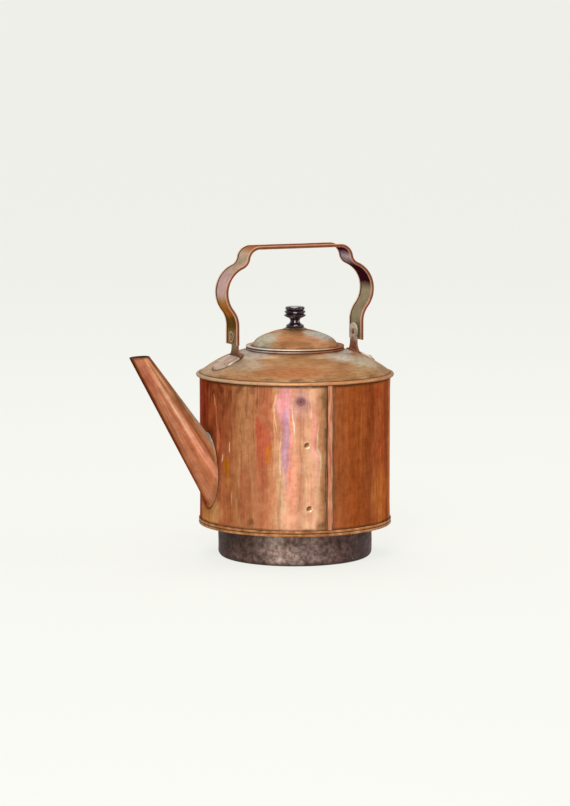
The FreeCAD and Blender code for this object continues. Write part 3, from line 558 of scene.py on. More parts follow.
def strapCopper(look):
    # A strap of sheet copper with wired hems: the hems are rubbed bright by the hand, paler on their crests
    # as a painted highlight, with painted shade in the creases beside them; the web keeps its mauve, amber
    # and olive tarnish outside, and sage tarnish inside with a dark purple band of painted shade and a pale
    # lilac painted highlight in the hollow.
    finish, add, feed, skin = startFinish("hemmedStrapCopper", Specular_Tint="#A08878",
                                          Specular_IOR_Level=0.0)
    place = add("TexCoord")
    split = add("SeparateXYZ", {0: place})
    mottle = grainOf(add, place, [10] * 3, 4.0, 0.6)
    rise = ragged(add, (split, 2), mottle, 8 * mm)
    low, high = look["outside"][0][0], look["outside"][-1][0]
    up = add("MapRange", {0: rise, 1: low * mm, 2: high * mm})
    stops = {key: [((z - low) / (high - low), c) for z, c in look[key]] for key in ("outside", "inside")}
    outer = add("ValToRGB", {0: up}, stops=stops["outside"])
    inner = add("ValToRGB", {0: up}, stops=stops["inside"])
    web = covered(add, inner, outer, add("Attribute", attribute_name="outward"), -0.2, 0.2)
    web = glazed(add, web, mottle, [(0.34, "#BFB0A4"), (0.6, "#FFFFFF")], 0.5)
    edge = add("Attribute", attribute_name="edge")
    # painted shade darkens the crease beside the hem
    web = covered(add, web, "#402014", edge, -0.4, -0.05, 0.92)  # the crease beside the hem
    hem = add("ValToRGB", {0: edge}, stops=look["hem"])
    hem = glazed(add, hem, mottle, [(0.32, "#C0A898"), (0.58, "#FFFFFF")], 0.4)
    onHem = add("MapRange", {0: edge, 1: -0.02, 2: 0.08})
    feed("Base Color", add("Mix", {0: onHem, 6: web, 7: hem}))
    feed("Metallic", add("MapRange", {0: onHem, 3: 0.5, 4: 0.3}))
    skin((0.52, 0.36), onHem, 0.25, 0.3, mottle)
    return finish


def seamCopper():
    # A copper strip sweated over the seam: its crown rubbed to salmon, dark grey-olive solder at its edges.
    finish, add, feed, skin = startFinish("solderedSeamCopper", Metallic=0.5, Specular_Tint="#A98C78")
    place = add("TexCoord")
    streak = grainOf(add, place, (2, 2, 20), 3.0)
    strip = add("ValToRGB", {0: streak}, stops=[(0.3, "#A05C42"), (0.5, "#BA7252"), (0.68, "#D09274")])
    solder = add("ValToRGB", {0: streak}, stops=[(0.35, "#33291C"), (0.65, "#5E5440")])
    crown = add("Attribute", attribute_name="crown")
    edge = ragged(add, crown, streak, 0.4)
    cover = add("MapRange", {0: edge, 1: 0.32, 2: 0.55})
    feed("Base Color", add("Mix", {0: cover, 6: solder, 7: strip}))
    skin((0.55, 0.36), cover, 0.3, 0.3, streak)
    return finish


def foldedCopper():
    # The bottom plate's folded edge: tan copper, rubbed on the crests, with dark green-brown painted shade
    # in the fold.
    finish, add, feed, skin = startFinish("foldedRimCopper", Metallic=0.5, Specular_Tint="#B09C80")
    place = add("TexCoord")
    mottle = grainOf(add, place, [9] * 3, 4.0, 0.6)
    metal = add("ValToRGB", {0: mottle}, stops=[(0.3, "#7E4E2C"), (0.5, "#A66C42"), (0.68, "#C08A5E")])
    crest = add("Attribute", attribute_name="crest")
    edge = ragged(add, crest, mottle, 0.5)
    cover = add("MapRange", {0: edge, 1: 0.15, 2: 0.65})
    # painted shade where the crest mark is low, in the fold's groove and against the drum
    feed("Base Color", add("Mix", {0: cover, 6: "#3E301A", 7: metal}))
    skin((0.6, 0.38), cover, 0.3, 0.3, mottle)
    return finish


panLook = {
    "radius": 89.0,
    # degrees from the front and the soot's colour there: paler on the front-left as painted light, darker
    # towards the sides as painted shade
    "bands": [(-180, "#5A4440"), (-110, "#5E4842"), (-85, "#4E3834"), (-62, "#644E48"), (-48, "#94807A"),
              (-35, "#B49E94"), (-25, "#A8948C"), (-10, "#8C7670"), (5, "#745C58"), (18, "#604A48"),
              (35, "#4E3C3A"), (55, "#5A4644"), (110, "#6A5450"), (150, "#4E3C38"), (180, "#5A4440")],
    # the low edge darkened as painted shade
    "blackEdge": (6.0, 1.0),  # heights where the black low edge starts and is whole
}


def sootedCopper(look):
    # Copper blackened by the fire: purple-brown soot worn to grey mauve in clouds, a few pale lime specks,
    # paler on the front-left as painted light, darker at the sides and the low edge as painted shade.
    finish, add, feed, skin = startFinish("sootedPanCopper", Metallic=0.15, Specular_IOR_Level=0.15)
    size = look["radius"]
    place, split, _, chart = wornChart(add, size, True, (20, 20, 14), (30, 10))
    sootAndShade = bandTone(add, chart, size, look["bands"])
    cloud = grainOf(add, place, [20] * 3, 6.0, 0.66)
    grain = grainOf(add, place, [5.5] * 3, 5.0, 0.66)
    tone = glazed(add, sootAndShade, cloud, [(0.34, "#8C7C7A"), (0.5, "#DCD2CE"), (0.62, "#FFFFFF")], 0.9)
    tone = glazed(add, tone, grain, [(0.4, "#7E7876"), (0.6, "#E4E2DE")], 0.75, "OVERLAY")
    # painted shade darkens the low edge
    unshaded, black = [z * mm for z in look["blackEdge"]]
    tone = covered(add, tone, "#2A1E1E", (split, 2), unshaded, black, 0.7)
    lime = grainOf(add, place, [6] * 3, 2.0)
    feed("Base Color", covered(add, tone, "#B8ACA4", lime, 0.7, 0.78, 0.5))
    skin((0.5, 0.75), cloud, 0.4, 0.4, grain)
    return finish


# faces of the ears in mm from the middle, and heights below the pivot, where each tone starts and is whole
earLook = {"outerFace": (74.7, 76.2), "beyond": (76.5, 77.2), "head": (16.5, 12.5), "tarnishAndShade": (5.0, 12.0),
           "deep": (12.0, 20.0)}


def castBrass(pivot, look):
    # Cast brass ears, filed and handled: pale grey-beige heads, tan feet with file marks drawn coarser than
    # real, necks darkened red-brown inside and olive to dark brown outside, darker towards the foot, tarnish
    # with painted shade under the strap.
    finish, add, feed, skin = startFinish("filedCastBrass", Metallic=0.4, Specular_Tint="#A89888",
                                          Specular_IOR_Level=0.1)
    place = add("TexCoord")
    split = add("SeparateXYZ", {0: place})
    mottle = grainOf(add, place, [7] * 3, 4.0, 0.6)
    marks = grainOf(add, place, (20, 1.4, 20), 2.0)
    head = add("ValToRGB", {0: mottle}, stops=[(0.3, "#9A8E7E"), (0.5, "#BCB09E"), (0.68, "#CCC2B2")])
    foot = add("ValToRGB", {0: marks}, stops=[(0.36, "#947E70"), (0.5, "#C4AA96"), (0.66, "#D8C2AE")])
    under = {key: [pivot - z * mm for z in look[key]] for key in ("head", "tarnishAndShade", "deep")}
    metal = covered(add, foot, head, (split, 2), *under["head"])
    # the necks' tarnish with painted shade under the strap, by height below the pivot
    level = ragged(add, (split, 2), mottle, 8 * mm)
    fall = add("MapRange", {0: level, 1: under["tarnishAndShade"][0], 2: under["tarnishAndShade"][1], 3: 0.0, 4: 0.92})
    across = add("Math", {0: (split, 0)}, operation="ABSOLUTE")
    start, end = [x * mm for x in look["beyond"]]
    upright = add("MapRange", {0: across, 1: start, 2: end, 3: 1.0, 4: 0.0})
    cover = add("Math", {0: fall, 1: upright}, operation="MULTIPLY")
    dun = covered(add, "#7A6440", "#4E2814", level, *under["deep"])
    tarnishAndShade = covered(add, "#8A5038", dun, across, *[x * mm for x in look["outerFace"]])
    feed("Base Color", add("Mix", {0: cover, 6: metal, 7: tarnishAndShade}))
    skin((0.38, 0.55), mottle, 0.35, 0.3, marks)
    return finish


def washerBrass(pivot):
    # Brass washers under the pivot heads: a rubbed pale rim, olive-brown tarnish inside it, a dark edge.
    finish, add, feed, _ = startFinish("tarnishedWasherBrass", Metallic=0.5, Specular_Tint="#B8A898")
    place = add("TexCoord")
    middle = add("Mapping", {0: place, "Location": (0, 0, -pivot), "Scale": (0, 1, 1)})
    reach = add("VectorMath", {0: middle}, operation="LENGTH")
    mottle = grainOf(add, place, [3] * 3, 3.0)
    spot = ragged(add, reach, mottle, 1.6 * mm)
    ring = add("MapRange", {0: spot, 1: 3 * mm, 2: 6.5 * mm})  # from the rivet head to the rim
    rings = [(0.0, "#5E4E32"), (0.4, "#6E5E3C"), (0.62, "#A09270"), (0.8, "#B4A886"), (1.0, "#6E5E3C")]
    feed("Base Color", add("ValToRGB", {0: ring}, stops=rings))
    feed("Roughness", add("MapRange", {0: mottle, 3: 0.34, 4: 0.54}))
    return finish


def plainMetal(name, dark, middle, light, metal, rough, size):
    # Small hardware: one metal in three close tones with a hammered or drawn skin of the given size in mm.
    finish, add, feed, skin = startFinish(name, Metallic=metal)
    place = add("TexCoord")
    mottle = grainOf(add, place, [size] * 3, 3.0, 0.6)
    tones = [(0.3, dark), (0.5, middle), (0.7, light)]
    feed("Base Color", add("ValToRGB", {0: mottle}, stops=tones))
    skin((rough - 0.1, rough + 0.1), mottle, 0.25, 0.2, mottle)
    return finish


def ebonisedWood():
    # Turned hardwood stained black and polished: almost black with crisp highlights, the stain rubbed
    # through to a pinkish grey along the rings, and a few pinkish grey painted glints, most on the waist.
    finish, add, feed, skin = startFinish("ebonisedTurnedWood", Specular_IOR_Level=0.45)
    place = add("TexCoord")
    pore = grainOf(add, place, (1.2, 1.2, 12), 4.0, 0.65)
    tone = add("ValToRGB", {0: pore}, stops=[(0.3, "#10060C"), (0.55, "#200E18"), (0.72, "#3A202E")])
    breakup = grainOf(add, place, [5] * 3, 2.0)
    crest = add("Attribute", attribute_name="crest")
    wearAndGlints = add("Math", {0: breakup, 1: crest}, operation="MULTIPLY")
    # wear along the rings and painted glints, mostly on the waist
    feed("Base Color", covered(add, tone, "#B8A4AC", wearAndGlints, 0.34, 0.56, 0.8))
    skin((0.05, 0.13), pore, 0.12, 0.1, pore)
    return finish


pivotHeight = sum(levels("pivot_spacers")) / 2
finishes = {
    "drum": rolledCopper(drumLook), "breast": dulledCopper(breastLook), "neck": dulledCopper(neckLook),
    "lid": dulledCopper(lidLook), "spout": burnishedCopper(spoutLook), "bail": strapCopper(bailLook),
    "seam": seamCopper(), "fold": foldedCopper(), "pan": sootedCopper(panLook),
    "ear": castBrass(pivotHeight * mm, earLook), "washer": washerBrass(pivotHeight * mm),
    "knob": ebonisedWood(),
}
# three tones, how metallic, how rough, size of the skin in mm
plainLooks = {
    "tin": ("wipedTinLining", "#8E8C86", "#AEACA6", "#C4C2BC", 0.7, 0.45, 12.0),
    # the spout's bore near-black, painted shade inside the mouth
    "bore": ("shadedBoreCopper", "#241812", "#35251C", "#4A382C", 0.2, 0.6, 6.0),
    "footRivet": ("hammeredRivetCopper", "#7E6458", "#A08878", "#B49E90", 0.5, 0.45, 3.0),
    "pin": ("hammeredPivotBrass", "#5E3220", "#824A32", "#A46C4C", 0.3, 0.5, 3.0),
    "brass": ("turnedBrass", "#4E3420", "#6E4E2E", "#8E6C40", 0.6, 0.42, 2.0),
    "iron": ("drawnIronWire", "#3A3430", "#544C46", "#6A6058", 0.7, 0.5, 2.0),
}
for key, given in plainLooks.items():
    finishes[key] = plainMetal(*given)
print("finishes:", len(finishes))


# Shaping helpers, all in millimetres

def run(start, end, count):
    # straight run of points from start to end
    t = np.linspace(0, 1, count)[:, None]
    return np.asarray(start, float) * (1 - t) + np.asarray(end, float) * t


def bow(centre, radius, start, end, count):
    # arc of points about a centre, angles in degrees
    a = np.radians(np.linspace(start, end, count))
    return np.stack([centre[0] + radius * np.cos(a), centre[1] + radius * np.sin(a)], 1)


def outline(*runs):
    # runs laid end to end, each meeting point kept once
    points = np.vstack(runs)
    keep = np.r_[True, np.hypot(*np.diff(points, axis=0).T) > 1e-3]
    return points[keep]


def softened(points, times):
    # corner cutting: every edge gives the points at one and at three quarters of it
    for _ in range(times):
        near = points[:-1] * 0.75 + points[1:] * 0.25
        far = points[:-1] * 0.25 + points[1:] * 0.75
        points = np.vstack([points[:1], np.stack([near, far], 1).reshape(-1, 2), points[-1:]])
    return points


def turned(profile, columns):
    # a (radius, height) profile carried round the upright axis
    a = np.linspace(0, 2 * np.pi, columns, endpoint=False)
    r, z = profile[:, :1], profile[:, 1:]
    return np.stack([r * np.cos(a), r * np.sin(a), z + 0 * a], -1)


def angleTo(point, centre):
    # degrees at which a point stands about a centre
    return math.degrees(math.atan2(point[1] - centre[1], point[0] - centre[0]))


def makePiece(name, grids, looks, body, stands, sharp=38):
    # Each grid is a dictionary: "at" rows x columns x 3, "wrap" (rows, columns) that close on themselves,
    # "finish" true for rows with the second look, "marks" named values per point. Neighbouring points are
    # joined by quads, points that meet at a pole are merged, and a shell with a negative volume is turned
    # round.
    points, quads, sheets, looksAt = [], [], [], []
    start = 0
    for grid in grids:
        rows, cols = grid["at"].shape[:2]
        closeRows, closeCols = grid["wrap"]
        i, j = np.meshgrid(np.arange(rows - 1 + closeRows), np.arange(cols - 1 + closeCols), indexing="ij")
        steps = np.array([(0, 0), (0, 1), (1, 1), (1, 0)])
        ring = np.stack([i, j], -1).reshape(-1, 1, 2) + steps
        quad = ring[..., 0] % rows * cols + ring[..., 1] % cols
        flat = grid["at"].reshape(-1, 3)
        a, b, c, d = (flat[quad[:, k]] for k in range(4))
        volume = (np.cross(a, b) * c).sum() + (np.cross(a, c) * d).sum()
        way = slice(None, None, -1 if volume < 0 else 1)
        points.append(flat * mm)
        quads.append(quad[:, way] + start)
        sheets.append((ring[:, way, ::-1] / (cols, rows)).reshape(-1, 2))
        looksAt.append(np.broadcast_to(grid.get("finish", 0), rows)[ring[:, 0, 0]])
        start += len(flat)
    mesh = bpy.data.meshes.new(name)
    mesh.from_pydata(np.vstack(points), [], np.vstack(quads))
    sheet = mesh.uv_layers.new(name="sheet")
    sheet.uv.foreach_set("vector", np.vstack(sheets).astype(np.float32).ravel())
    mesh.polygons.foreach_set("material_index", np.concatenate(looksAt).astype(np.int32))
    for mark in grids[0].get("marks", {}):
        values = np.concatenate([np.broadcast_to(g["marks"][mark], g["at"].shape[:2]).ravel()
                                 for g in grids])
        mesh.attributes.new(mark, "FLOAT", "POINT").data.foreach_set("value", values.astype(np.float32))
    work = bmesh.new()
    work.from_mesh(mesh)
    bmesh.ops.remove_doubles(work, verts=work.verts, dist=1e-7)
    work.to_mesh(mesh)
    work.free()
    mesh.polygons.foreach_set("use_smooth", np.ones(len(mesh.polygons), bool))
    mesh.set_sharp_from_angle(angle=math.radians(sharp))
    for look in looks:
        mesh.materials.append(finishes[look])
    made = bpy.data.objects.new(name, mesh)
    scene.collection.objects.link(made)
    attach(made, body)
    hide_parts(*stands)
    print(name, len(mesh.polygons), "faces")
    return made


# Spout, a tapered tube cut to the drum at its root

spout = {"root": (-110.0, 0.0, 110.3), "tilt": spoutLook["tilt"], "length": 153.4, "rootRadius": 21.8,
         "tipRadius": 10.1, "wall": 1.2, "lipTilt": 3.5, "flange": 1.6, "flangeRise": 0.8, "seat": 0.05,
         "columns": 216, "rows": 70, "plug": (-50.0, 45.0),
         # the ridge under the painted highlight: where it lies across the visible side at root and lip, its
         # height and width
         "facing": 17.6, "ridgeRoot": 0.03, "ridgeLip": 0.40, "ridgeRise": 0.28, "ridgeWide": 2.6}


def leaning(degrees):
    # unit vector in the XZ plane, leaning from upright towards -X
    return np.array([-math.sin(math.radians(degrees)), 0, math.cos(math.radians(degrees))])


def coneLine(grow, psi):
    # start and step of the cone's straight line at each angle: axis point plus radius times outward
    axis = leaning(spout["tilt"])
    out = np.stack([np.cos(psi) * axis[2], np.sin(psi), -np.cos(psi) * axis[0]], -1)
    slope = (spout["tipRadius"] - spout["rootRadius"]) / spout["length"]
    return np.array(spout["root"]) + (spout["rootRadius"] + grow) * out, axis + slope * out


def coneAtDrum(grow, psi, radius):
    # Where each line of the cone meets an upright cylinder: the outer root of the quadratic in its length.
    start, step = coneLine(grow, psi)
    a = (step[:, :2] ** 2).sum(1)
    b = (start[:, :2] * step[:, :2]).sum(1)
    c = (start[:, :2] ** 2).sum(1) - radius ** 2
    return start + ((-b + np.sqrt(b * b - a * c)) / a)[:, None] * step


def coneAtLip(grow, psi, lift):
    # Where each line meets the nearly level plane of the lip, raised by a lift.
    start, step = coneLine(grow, psi)
    tip = np.array(spout["root"]) + spout["length"] * leaning(spout["tilt"])
    normal = leaning(spout["lipTilt"])
    return start + (((tip + normal * lift - start) @ normal) / (step @ normal))[:, None] * step


def spoutGrid():
    # Rows run from the flange's edge over its top, along the tube, over the lip and back down the bore. A
    # soft ridge runs up the tube: a bell curve across it, whose middle moves towards the top from root to
    # lip.
    psi = np.linspace(0, 2 * np.pi, spout["columns"], endpoint=False)
    f, wallAt = spout["flange"], -spout["root"][0]
    top = wallAt + spout["seat"] + spout["flangeRise"]
    steps = [(f, wallAt), (f, top - 0.5), (f - 0.2, top - 0.15), (f - 0.5, top), (f * 0.5, top),
             (f * 0.25, top + 0.2), (f * 0.08, top + 0.7)]
    foot = [coneAtDrum(grow, psi, r) for grow, r in steps]
    low, high = coneAtDrum(0, psi, top + 1.4), coneAtLip(0, psi, -0.5)
    along = np.linspace(0, 1, spout["rows"])[:, None]
    tube = low * (1 - along[..., None]) + high * along[..., None]
    ridgeAt = spout["ridgeRoot"] + (spout["ridgeLip"] - spout["ridgeRoot"]) * along
    middle = -np.degrees(np.arccos(ridgeAt)) - spout["facing"]
    off = (np.degrees(psi) - middle + 180) % 360 - 180
    outward = coneLine(1, psi)[0] - coneLine(0, psi)[0]
    fade = np.sin(np.pi * np.clip(along * 0.94 + 0.03, 0, 1)) ** 0.5
    ridge = np.exp(-(off / spout["ridgeWide"]) ** 2) * spout["ridgeRise"] * fade
    tube = tube + outward * ridge[..., None]
    lip = [coneAtLip(g, psi, h) for g, h in ((-0.1, -0.2), (-0.35, 0.0), (-0.85, 0.0), (-1.1, -0.2))]
    t = np.linspace(0, 1, 24)[:, None, None]
    bore = coneAtLip(-spout["wall"], psi, -0.5) * (1 - t) + coneAtDrum(-spout["wall"], psi, wallAt) * t
    at = np.concatenate([np.stack(foot), tube, np.stack(lip), bore])
    farther = np.r_[np.zeros(len(foot)), along[:, 0], np.ones(len(lip) + len(bore))][:, None]
    drift = spout["ridgeRoot"] + (spout["ridgeLip"] - spout["ridgeRoot"]) * farther
    across = np.cos(psi + math.radians(spout["facing"])) - drift
    finish = np.arange(len(at)) >= len(at) - len(bore) - 1
    return {"at": at, "wrap": (True, True), "finish": finish, "marks": {"across": across, "along": farther}}


makePiece("spoutTube", [spoutGrid()], ["spout", "bore"], "kettle", ["spout"], 50)


# Drum, the upright wall with its dents

drumLow, drumTop = levels("body_drum")
drum = {"radius": 110.0, "wall": 1.2, "low": drumLow, "top": drumTop, "seam": -94.0,
        # angle from +X, height, size and depth of the one wide bruise and of the small dents
        "bruise": (-111.6, 191.0, 6.2, 0.9),
        "dents": [(-107.8, 141.6, 2.8, 0.8), (-106.4, 69.6, 2.8, 0.8)],
        # plain margins at foot and top, the waves' growing run, their calm at the seam, their lean inward
        "margins": (6.0, 3.0), "grow": 16.0, "seamCalm": 18.0, "inward": 0.2,
        "waves": [(5, 0.4, 0.10), (9, 2.1, 0.09), (14, 4.0, 0.08), (23, 1.3, 0.06), (37, 5.2, 0.035)]}


def drumReach(a, z, angle, height, size):
    # distance from a dent's middle, in its own sizes
    return np.hypot(np.radians((a - angle + 180) % 360 - 180) * drum["radius"], z - height) / size


def drumRadius(a, z):
    # Plain wall plus long upright waves that die away at the ends and at the seam, less a bell-shaped
    # bruise and a bowl with a raised lip for each small dent.
    (foot, head), grow = drum["margins"], drum["grow"]
    ends = np.clip((z - drum["low"] - foot) / grow, 0, 1) * np.clip((drum["top"] - head - z) / grow, 0, 1)
    calm = 1 - np.exp(-((a - drum["seam"] + 180) % 360 - 180) ** 2 / drum["seamCalm"])
    wave = sum(h * np.cos(k * np.radians(a) + p + 0.5 * np.sin(z / 31 + k)) for k, p, h in drum["waves"])
    off = (wave - drum["inward"]) * ends * calm
    *bruise, deep = drum["bruise"]
    off = off - deep * np.exp(-drumReach(a, z, *bruise) ** 2)
    for *dent, deep in drum["dents"]:
        reach = drumReach(a, z, *dent)
        step = np.clip((1.05 - reach) / 0.55, 0, 1)
        off = off - deep * step * step * (3 - 2 * step) + 0.22 * deep * np.exp(-((reach - 1.3) / 0.22) ** 2)
    return drum["radius"] + off


def drumMarks(a, z):
    # Distance from the bruise and from the nearest small dent in their own sizes, how far a point lies to
    # the right of and below that dent, which sets the dent's painted shade and highlight, and its distance
    # in mm from the spout's cone, which sets the painted shadow round the spout's root.
    every = np.stack([drumReach(a, z, *dent) for *dent, _ in drum["dents"]])
    aside = np.stack([np.radians(a - turn) * drum["radius"] / size - (z - h) / size
                      for turn, h, size, _ in drum["dents"]])
    lit = np.take_along_axis(aside, every.argmin(0)[None], 0)[0]
    turn = np.radians(a) + 0 * z
    wall = [drum["radius"] * np.cos(turn), drum["radius"] * np.sin(turn), z + 0 * a]
    at = np.stack(wall, -1) - spout["root"]
    along = at @ leaning(spout["tilt"])
    across = np.linalg.norm(at - along[..., None] * leaning(spout["tilt"]), axis=-1)
    taper = (spout["tipRadius"] - spout["rootRadius"]) / spout["length"]
    root = across - spout["rootRadius"] - taper * along
    return {"bruise": np.minimum(drumReach(a, z, *drum["bruise"][:3]), 3),
            "dent": np.minimum(every.min(0), 3), "lit": np.clip(lit, -3, 3), "root": np.clip(root, -9, 30)}


def drumGrid():
    # Columns and rows are closer round the dents. Rows go up outside and down inside.
    a = np.unique(np.r_[np.linspace(-270, 90, 300, endpoint=False), np.linspace(-116, -103.5, 90)])
    close = [np.linspace(h - 2 * s, h + 2 * s, 26) for _, h, s, _ in [drum["bruise"]] + drum["dents"]]
    z = np.unique(np.r_[np.linspace(drum["low"], drum["top"], 76), np.concatenate(close)])[:, None]
    zIn = np.linspace(drum["top"], drum["low"], 24)[:, None]
    r = np.vstack([drumRadius(a, z), drumRadius(a, zIn) - drum["wall"]])
    h = np.vstack([z, zIn])
    turn = np.radians(a)
    at = np.stack([r * np.cos(turn), r * np.sin(turn), h + 0 * r], -1)
    finish = np.arange(len(h)) >= len(z) - 1
    return {"at": at, "wrap": (True, True), "finish": finish, "marks": drumMarks(a, h)}


drumWall = makePiece("drumWall", [drumGrid()], ["drum", "tin"], "kettle", ["body_drum"], 30)

# the spout's bore goes through the wall
psi = np.linspace(0, 2 * np.pi, 96, endpoint=False)
begin, step = coneLine(-spout["wall"], psi)
boreEnds = [begin + s * step for s in spout["plug"]]
plugAt = np.stack([boreEnds[0] * 0 + boreEnds[0].mean(0), *boreEnds, boreEnds[1] * 0 + boreEnds[1].mean(0)])
plug = makePiece("borePlug", [{"at": plugAt, "wrap": (False, True)}], [], "kettle", [])
cut = drumWall.modifiers.new("bore", "BOOLEAN")
cut.object = plug
cut.solver = "EXACT"
bpy.context.view_layer.update()
pierced = bpy.data.meshes.new_from_object(drumWall.evaluated_get(bpy.context.evaluated_depsgraph_get()))
drumWall.modifiers.clear()
drumWall.data = pierced
pierced.name = "drumWall"
bpy.data.objects.remove(plug)
print("drum pierced:", len(pierced.polygons), "faces")


# Strip over the drum's upright seam

stripLow, stripHigh = levels("side_seam_strip")
strip = {"angle": drum["seam"], "low": stripLow, "high": stripHigh, "half": 2.9, "solder": 4.0,
         "root": 109.8, "edge": 110.55, "crown": 111.35}


def stripGrid():
    # a section across the seam (solder, edge, softly domed crown) carried up the wall with wandering edges
    low, high = strip["low"], strip["high"]
    z = np.r_[low, low, np.linspace(low + 0.4, high - 0.4, 90), high, high]
    half, solder, edge, wallAt = strip["half"], strip["solder"], strip["edge"], drum["radius"]
    dome = np.linspace(-1, 1, 13)
    crown = np.stack([dome * half * 0.96, edge + (strip["crown"] - edge) * (1 - dome ** 2) ** 0.7], 1)
    left = np.array([(-solder, strip["root"]), (-solder * 0.94, wallAt + 0.1),
                     (-half - 0.35, wallAt + 0.22), (-half, wallAt + 0.36), (-half, edge - 0.04)])
    section = np.vstack([left, crown, left[::-1] * (-1, 1)])
    shade = np.r_[0, 0, 0, 0.15, 0.4, 0.5 + 0.5 * (1 - np.abs(dome)), 0.4, 0.15, 0, 0, 0]
    wander = 0.13 * np.sin(z / 7.3) + 0.09 * np.sin(z / 2.9 + 1)
    across = section[:, 0] + wander[:, None] * (np.abs(section[:, 0]) > half - 0.2)
    lift = np.r_[0.0, np.ones(len(z) - 2), 0.0][:, None]
    r = strip["root"] + (section[:, 1] - strip["root"]) * lift
    a = math.radians(strip["angle"]) + across / wallAt
    at = np.stack([r * np.cos(a), r * np.sin(a), z[:, None] + 0 * r], -1)
    return {"at": at, "wrap": (False, True), "marks": {"crown": shade + 0 * r}}


makePiece("seamStrip", [stripGrid()], ["seam"], "kettle", ["side_seam_strip"])


# Breast, the domed top with its wired bead

breast = {"centre": (24.17, 103.88), "outer": 139.0, "inner": 137.8, "hole": 52.25, "bead": (112.05, 210.8),
          "beadRadius": 2.0, "columns": 300, "uneven": 0.14,
          # where the waves start, over which run they grow, and the ears' half width and start, spared
          "waveFrom": 62.0, "waveGrow": 12.0, "earCalm": (26.0, 55.0)}


def domeTop(radius, lift):
    # height of the breast's outer face at a radius, raised by a lift along its normal
    return breast["centre"][1] + np.sqrt((breast["outer"] + lift) ** 2 - (radius - breast["centre"][0]) ** 2)


def breastGrid():
    # The dome's outer arc out to the bead, round the bead, and the inner arc back to the neck hole, with
    # shallow hammer waves that die away at the neck and under the ears.
    c, bead, size = breast["centre"], breast["bead"], breast["beadRadius"]
    atBead = angleTo(bead, c)
    neckOut = math.degrees(math.acos((breast["hole"] - c[0]) / breast["outer"]))
    neckIn = math.degrees(math.acos((breast["hole"] - c[0]) / breast["inner"]))
    halfWall, mid = (breast["outer"] - breast["inner"]) / 2, (breast["outer"] + breast["inner"]) / 2
    tuck = math.degrees(math.sqrt(size ** 2 - halfWall ** 2) / mid)
    over = bow(c, breast["outer"], neckOut, atBead + tuck, 46)
    under = bow(c, breast["inner"], atBead + tuck, neckIn, 30)
    roll = bow(bead, size, angleTo(over[-1], bead), angleTo(under[0], bead) - 360, 22)
    at = turned(outline(over, roll, under), breast["columns"])
    x, y = at[..., 0], at[..., 1]
    a, r = np.arctan2(y, x), np.hypot(x, y)
    earHalf, earFrom = breast["earCalm"]
    byEar = np.exp(-(np.abs(y) / earHalf) ** 4) * (np.abs(x) > earFrom)
    calm = np.clip((r - breast["waveFrom"]) / breast["waveGrow"], 0, 1) * (1 - byEar)
    wave = np.cos(5 * a + 1) + np.cos(11 * a + r / 9) + 0.7 * np.cos(23 * a - r / 6)
    at[..., 2] += breast["uneven"] * calm * wave / 1.6
    outside = len(over) + len(roll) - 2
    finish = np.arange(len(at)) >= outside
    return {"at": at, "wrap": (True, True), "finish": finish}


makePiece("breastDome", [breastGrid()], ["breast", "tin"], "kettle", ["breast"], 45)


# Neck collar that takes the lid

neckLow, neckTop = levels("neck_collar")
neck = {"inner": 51.0, "outer": 52.2, "low": neckLow, "top": neckTop, "beadAt": 55.35, "beadRadius": 1.25,
        "wall": 1.2}


def neckGrid():
    # Up the bore, out along the flange, round the rolled edge and back down the outside.
    i, o, low, top, size = neck["inner"], neck["outer"], neck["low"], neck["top"], neck["beadRadius"]
    bore = run((i, low), (i, top - 0.6), 8)
    flange = bow((i + 0.6, top - 0.6), 0.6, 180, 90, 5)
    roll = bow((neck["beadAt"], top - size), size, 90, -180, 22)
    down = run((o, top - neck["wall"]), (o, low), 8)
    at = turned(outline(bore, flange, run(flange[-1], roll[0], 4), roll, down), 220)
    finish = np.arange(len(at)) < len(bore)
    return {"at": at, "wrap": (True, True), "finish": finish}


makePiece("neckCollar", [neckGrid()], ["neck", "tin"], "kettle", ["neck_collar"], 45)


# Lid, a domed cover with a rolled rim

lidUnder = levels("lid_sleeve")[1]
lid = {"under": lidUnder, "wall": 1.2, "bead": (55.7, lidUnder + 1.0), "beadRadius": 1.0, "crownArc": 86.6,
       "crown": (0.0, lidUnder - 65.4), "shoulder": (34.137, lidUnder - 3.6), "shoulderArc": 16.0,
       "hole": 2.2, "columns": 240, "uneven": 0.10, "wavesIn": (15.0, 48.5), "waveGrow": 8.0}


